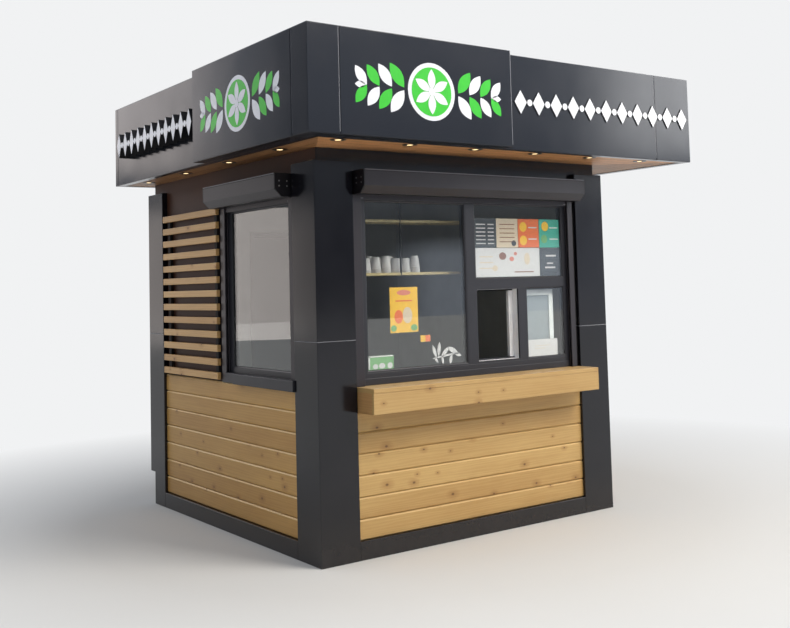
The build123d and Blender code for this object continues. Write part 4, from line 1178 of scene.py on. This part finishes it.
# Floor: painted near the kiosk, where it takes the shadow, and as pale as the backdrop further off
backdrop = "#F1F2F3"
ground = bmesh.new()
bmesh.ops.create_grid(ground, x_segments=1, y_segments=1, size=40.0)
ground_mesh = bpy.data.meshes.new("studio_floor")
ground.to_mesh(ground_mesh)
ground.free()
studio_floor = bpy.data.objects.new("studio_floor", ground_mesh)
bpy.context.scene.collection.objects.link(studio_floor)
paint, tree, shader, place = start_finish("studio_floor_paint", Base_Color="#D2D1CE", Roughness=0.9)
rays = add(tree, "LightPath").node.outputs
is_camera = rays["Is Camera Ray"]
mirrored = (rays["Is Glossy Ray"], rays["Is Transmission Ray"])
is_mirrored = add(tree, "Math", mirrored, operation="MAXIMUM")
is_seen = add(tree, "Math", (is_camera, is_mirrored), operation="MAXIMUM")
reach = add(tree, "VectorMath", (place,), "Value", operation="LENGTH")
far_off = add(tree, "MapRange", (reach, 2.3, 5.6))
hidden = add(tree, "Math", (far_off, is_seen), operation="MULTIPLY")
floor_x = add(tree, "SeparateXYZ", (place,), "X")
mirrored_glow = add(tree, "MapRange", (floor_x, -3.0, 2.0, 0.6, 1.0))
strength = add(tree, "Math", (is_camera, mirrored_glow), operation="MAXIMUM")
glow = add(tree, "Emission", dict(Color=backdrop, Strength=strength))
surface = add(tree, "MixShader", (hidden, shader.outputs[0], glow))
give(tree, tree.nodes["Material Output"], Surface=surface)
ground_mesh.materials.append(paint)

# Backdrop: an even pale ground to the camera, and a soft cool fill for what it lights
world = bpy.data.worlds.new("studio_sky")
bpy.context.scene.world = world
world.use_nodes = True
sky = world.node_tree
ambient = sky.nodes["Background"]
ambient.inputs["Color"].default_value = linear("#DCE5F2")
ambient.inputs["Strength"].default_value = 0.45
seen = add(sky, "Background", dict(Color=backdrop, Strength=1.0))
rays = add(sky, "LightPath").node.outputs
mirrored = (rays["Is Glossy Ray"], rays["Is Transmission Ray"])
through = add(sky, "Math", mirrored, operation="MAXIMUM")
# Mirrored in the black panels, the studio is dim at eye level, brighter above and to the right
ray = add(sky, "SeparateXYZ", (add(sky, "TexCoord", out="Generated"),)).node.outputs
to_right = add(sky, "MapRange", (ray[X], 0.70, 0.73, 0.14, 1.0))
near_level = add(sky, "MapRange", (ray[Z], 0.028, 0.046, 0.85, 0.14))
rightward = add(sky, "MapRange", (ray[X], 0.55, 0.6))
horizon = add(sky, "Math", (near_level, rightward), operation="MULTIPLY")
past_left = add(sky, "MapRange", (ray[X], -0.50, -0.42, 0.05, 0.85))
past_right = add(sky, "MapRange", (ray[X], 0.3, 0.5, 0.0, 0.15))
upward = add(sky, "Math", (past_left, past_right), operation="ADD")
high_up = add(sky, "MapRange", (ray[Z], 0.04, 0.17))
overhead = add(sky, "Math", (high_up, upward), operation="MULTIPLY")
strength = add(sky, "Math", (to_right, horizon), operation="MAXIMUM")
strength = add(sky, "Math", (strength, overhead), operation="MAXIMUM")
mirror_sky = add(sky, "Background", dict(Color="#DCE6F7", Strength=strength))
indirect = add(sky, "MixShader", (through, ambient.outputs[0], mirror_sky))
choice = add(sky, "MixShader", (rays["Is Camera Ray"], indirect, seen))
give(sky, sky.nodes["World Output"], Surface=choice)


def softbox(name, place, aim, size, power, tone="#FFFFFF"):
    """An area light, wide and tall, at a place and aimed at a point, unseen by the camera."""
    lamp = bpy.data.lights.new(name, "AREA")
    lamp.shape = "RECTANGLE"
    lamp.size, lamp.size_y = size
    lamp.energy = power
    lamp.color = linear(tone)[:3]
    holder = bpy.data.objects.new(name, lamp)
    bpy.context.scene.collection.objects.link(holder)
    holder.location = place
    holder.rotation_euler = (Vector(aim) - Vector(place)).to_track_quat("-Z", "Y").to_euler()
    holder.visible_camera = False


# The key lights the front, top and sky fill from above, and the side pair is what the black
# casings on the left mirror; the right one stands in for the bright end of the front fascia
softbox("key_softbox", (3.5, -8.0, 9.0), (0, 0, 1.0), (5.0, 5.0), 1060, "#FFF8EE")
softbox("top_softbox", (1.0, -1.0, 9.0), (0, 0, 1.0), (6.0, 6.0), 180)
softbox("sky_softbox", (-5.5, 1.0, 9.5), (-1.4, 0.3, 0.8), (5.0, 5.0), 160)
softbox("low_side_softbox", (-5.0, 10.6, 1.95), (0.55, 1.9, 1.95), (5.4, 2.3), 41, "#FFF3EC")
softbox("high_side_softbox", (-4.7, 10.6, 6.75), (0.85, 1.9, 6.75), (3.6, 6.1), 100, "#FFF0E6")
softbox("right_softbox", (10.2, -7.6, 6.2), (1.6, -1.5, 6.2), (4.0, 4.6), 280)

# The camera was fitted to the edges of the kiosk; its angles are in radians
yaw, pitch, roll = 0.635364, 0.0656309, -0.0276443
camera_place = (-4.5630, -6.5934, 1.6810)
flat = math.cos(pitch)
forward = Vector((math.sin(yaw) * flat, math.cos(yaw) * flat, math.sin(pitch)))
level = Vector((math.cos(yaw), -math.sin(yaw), 0))
upright = level.cross(forward)
right = math.cos(roll) * level + math.sin(roll) * upright
above = -math.sin(roll) * level + math.cos(roll) * upright
lens_data = bpy.data.cameras.new("photo_camera")
lens_data.lens = 47.14
lens_data.sensor_width = 36.0
lens_data.shift_x = -0.0351
lens_data.shift_y = -0.1230
camera = bpy.data.objects.new("photo_camera", lens_data)
bpy.context.scene.collection.objects.link(camera)
turn = Matrix((right, above, -forward)).transposed().to_4x4()
camera.matrix_world = Matrix.Translation(camera_place) @ turn
bpy.context.scene.camera = camera
bpy.context.scene.view_settings.view_transform = "Standard"
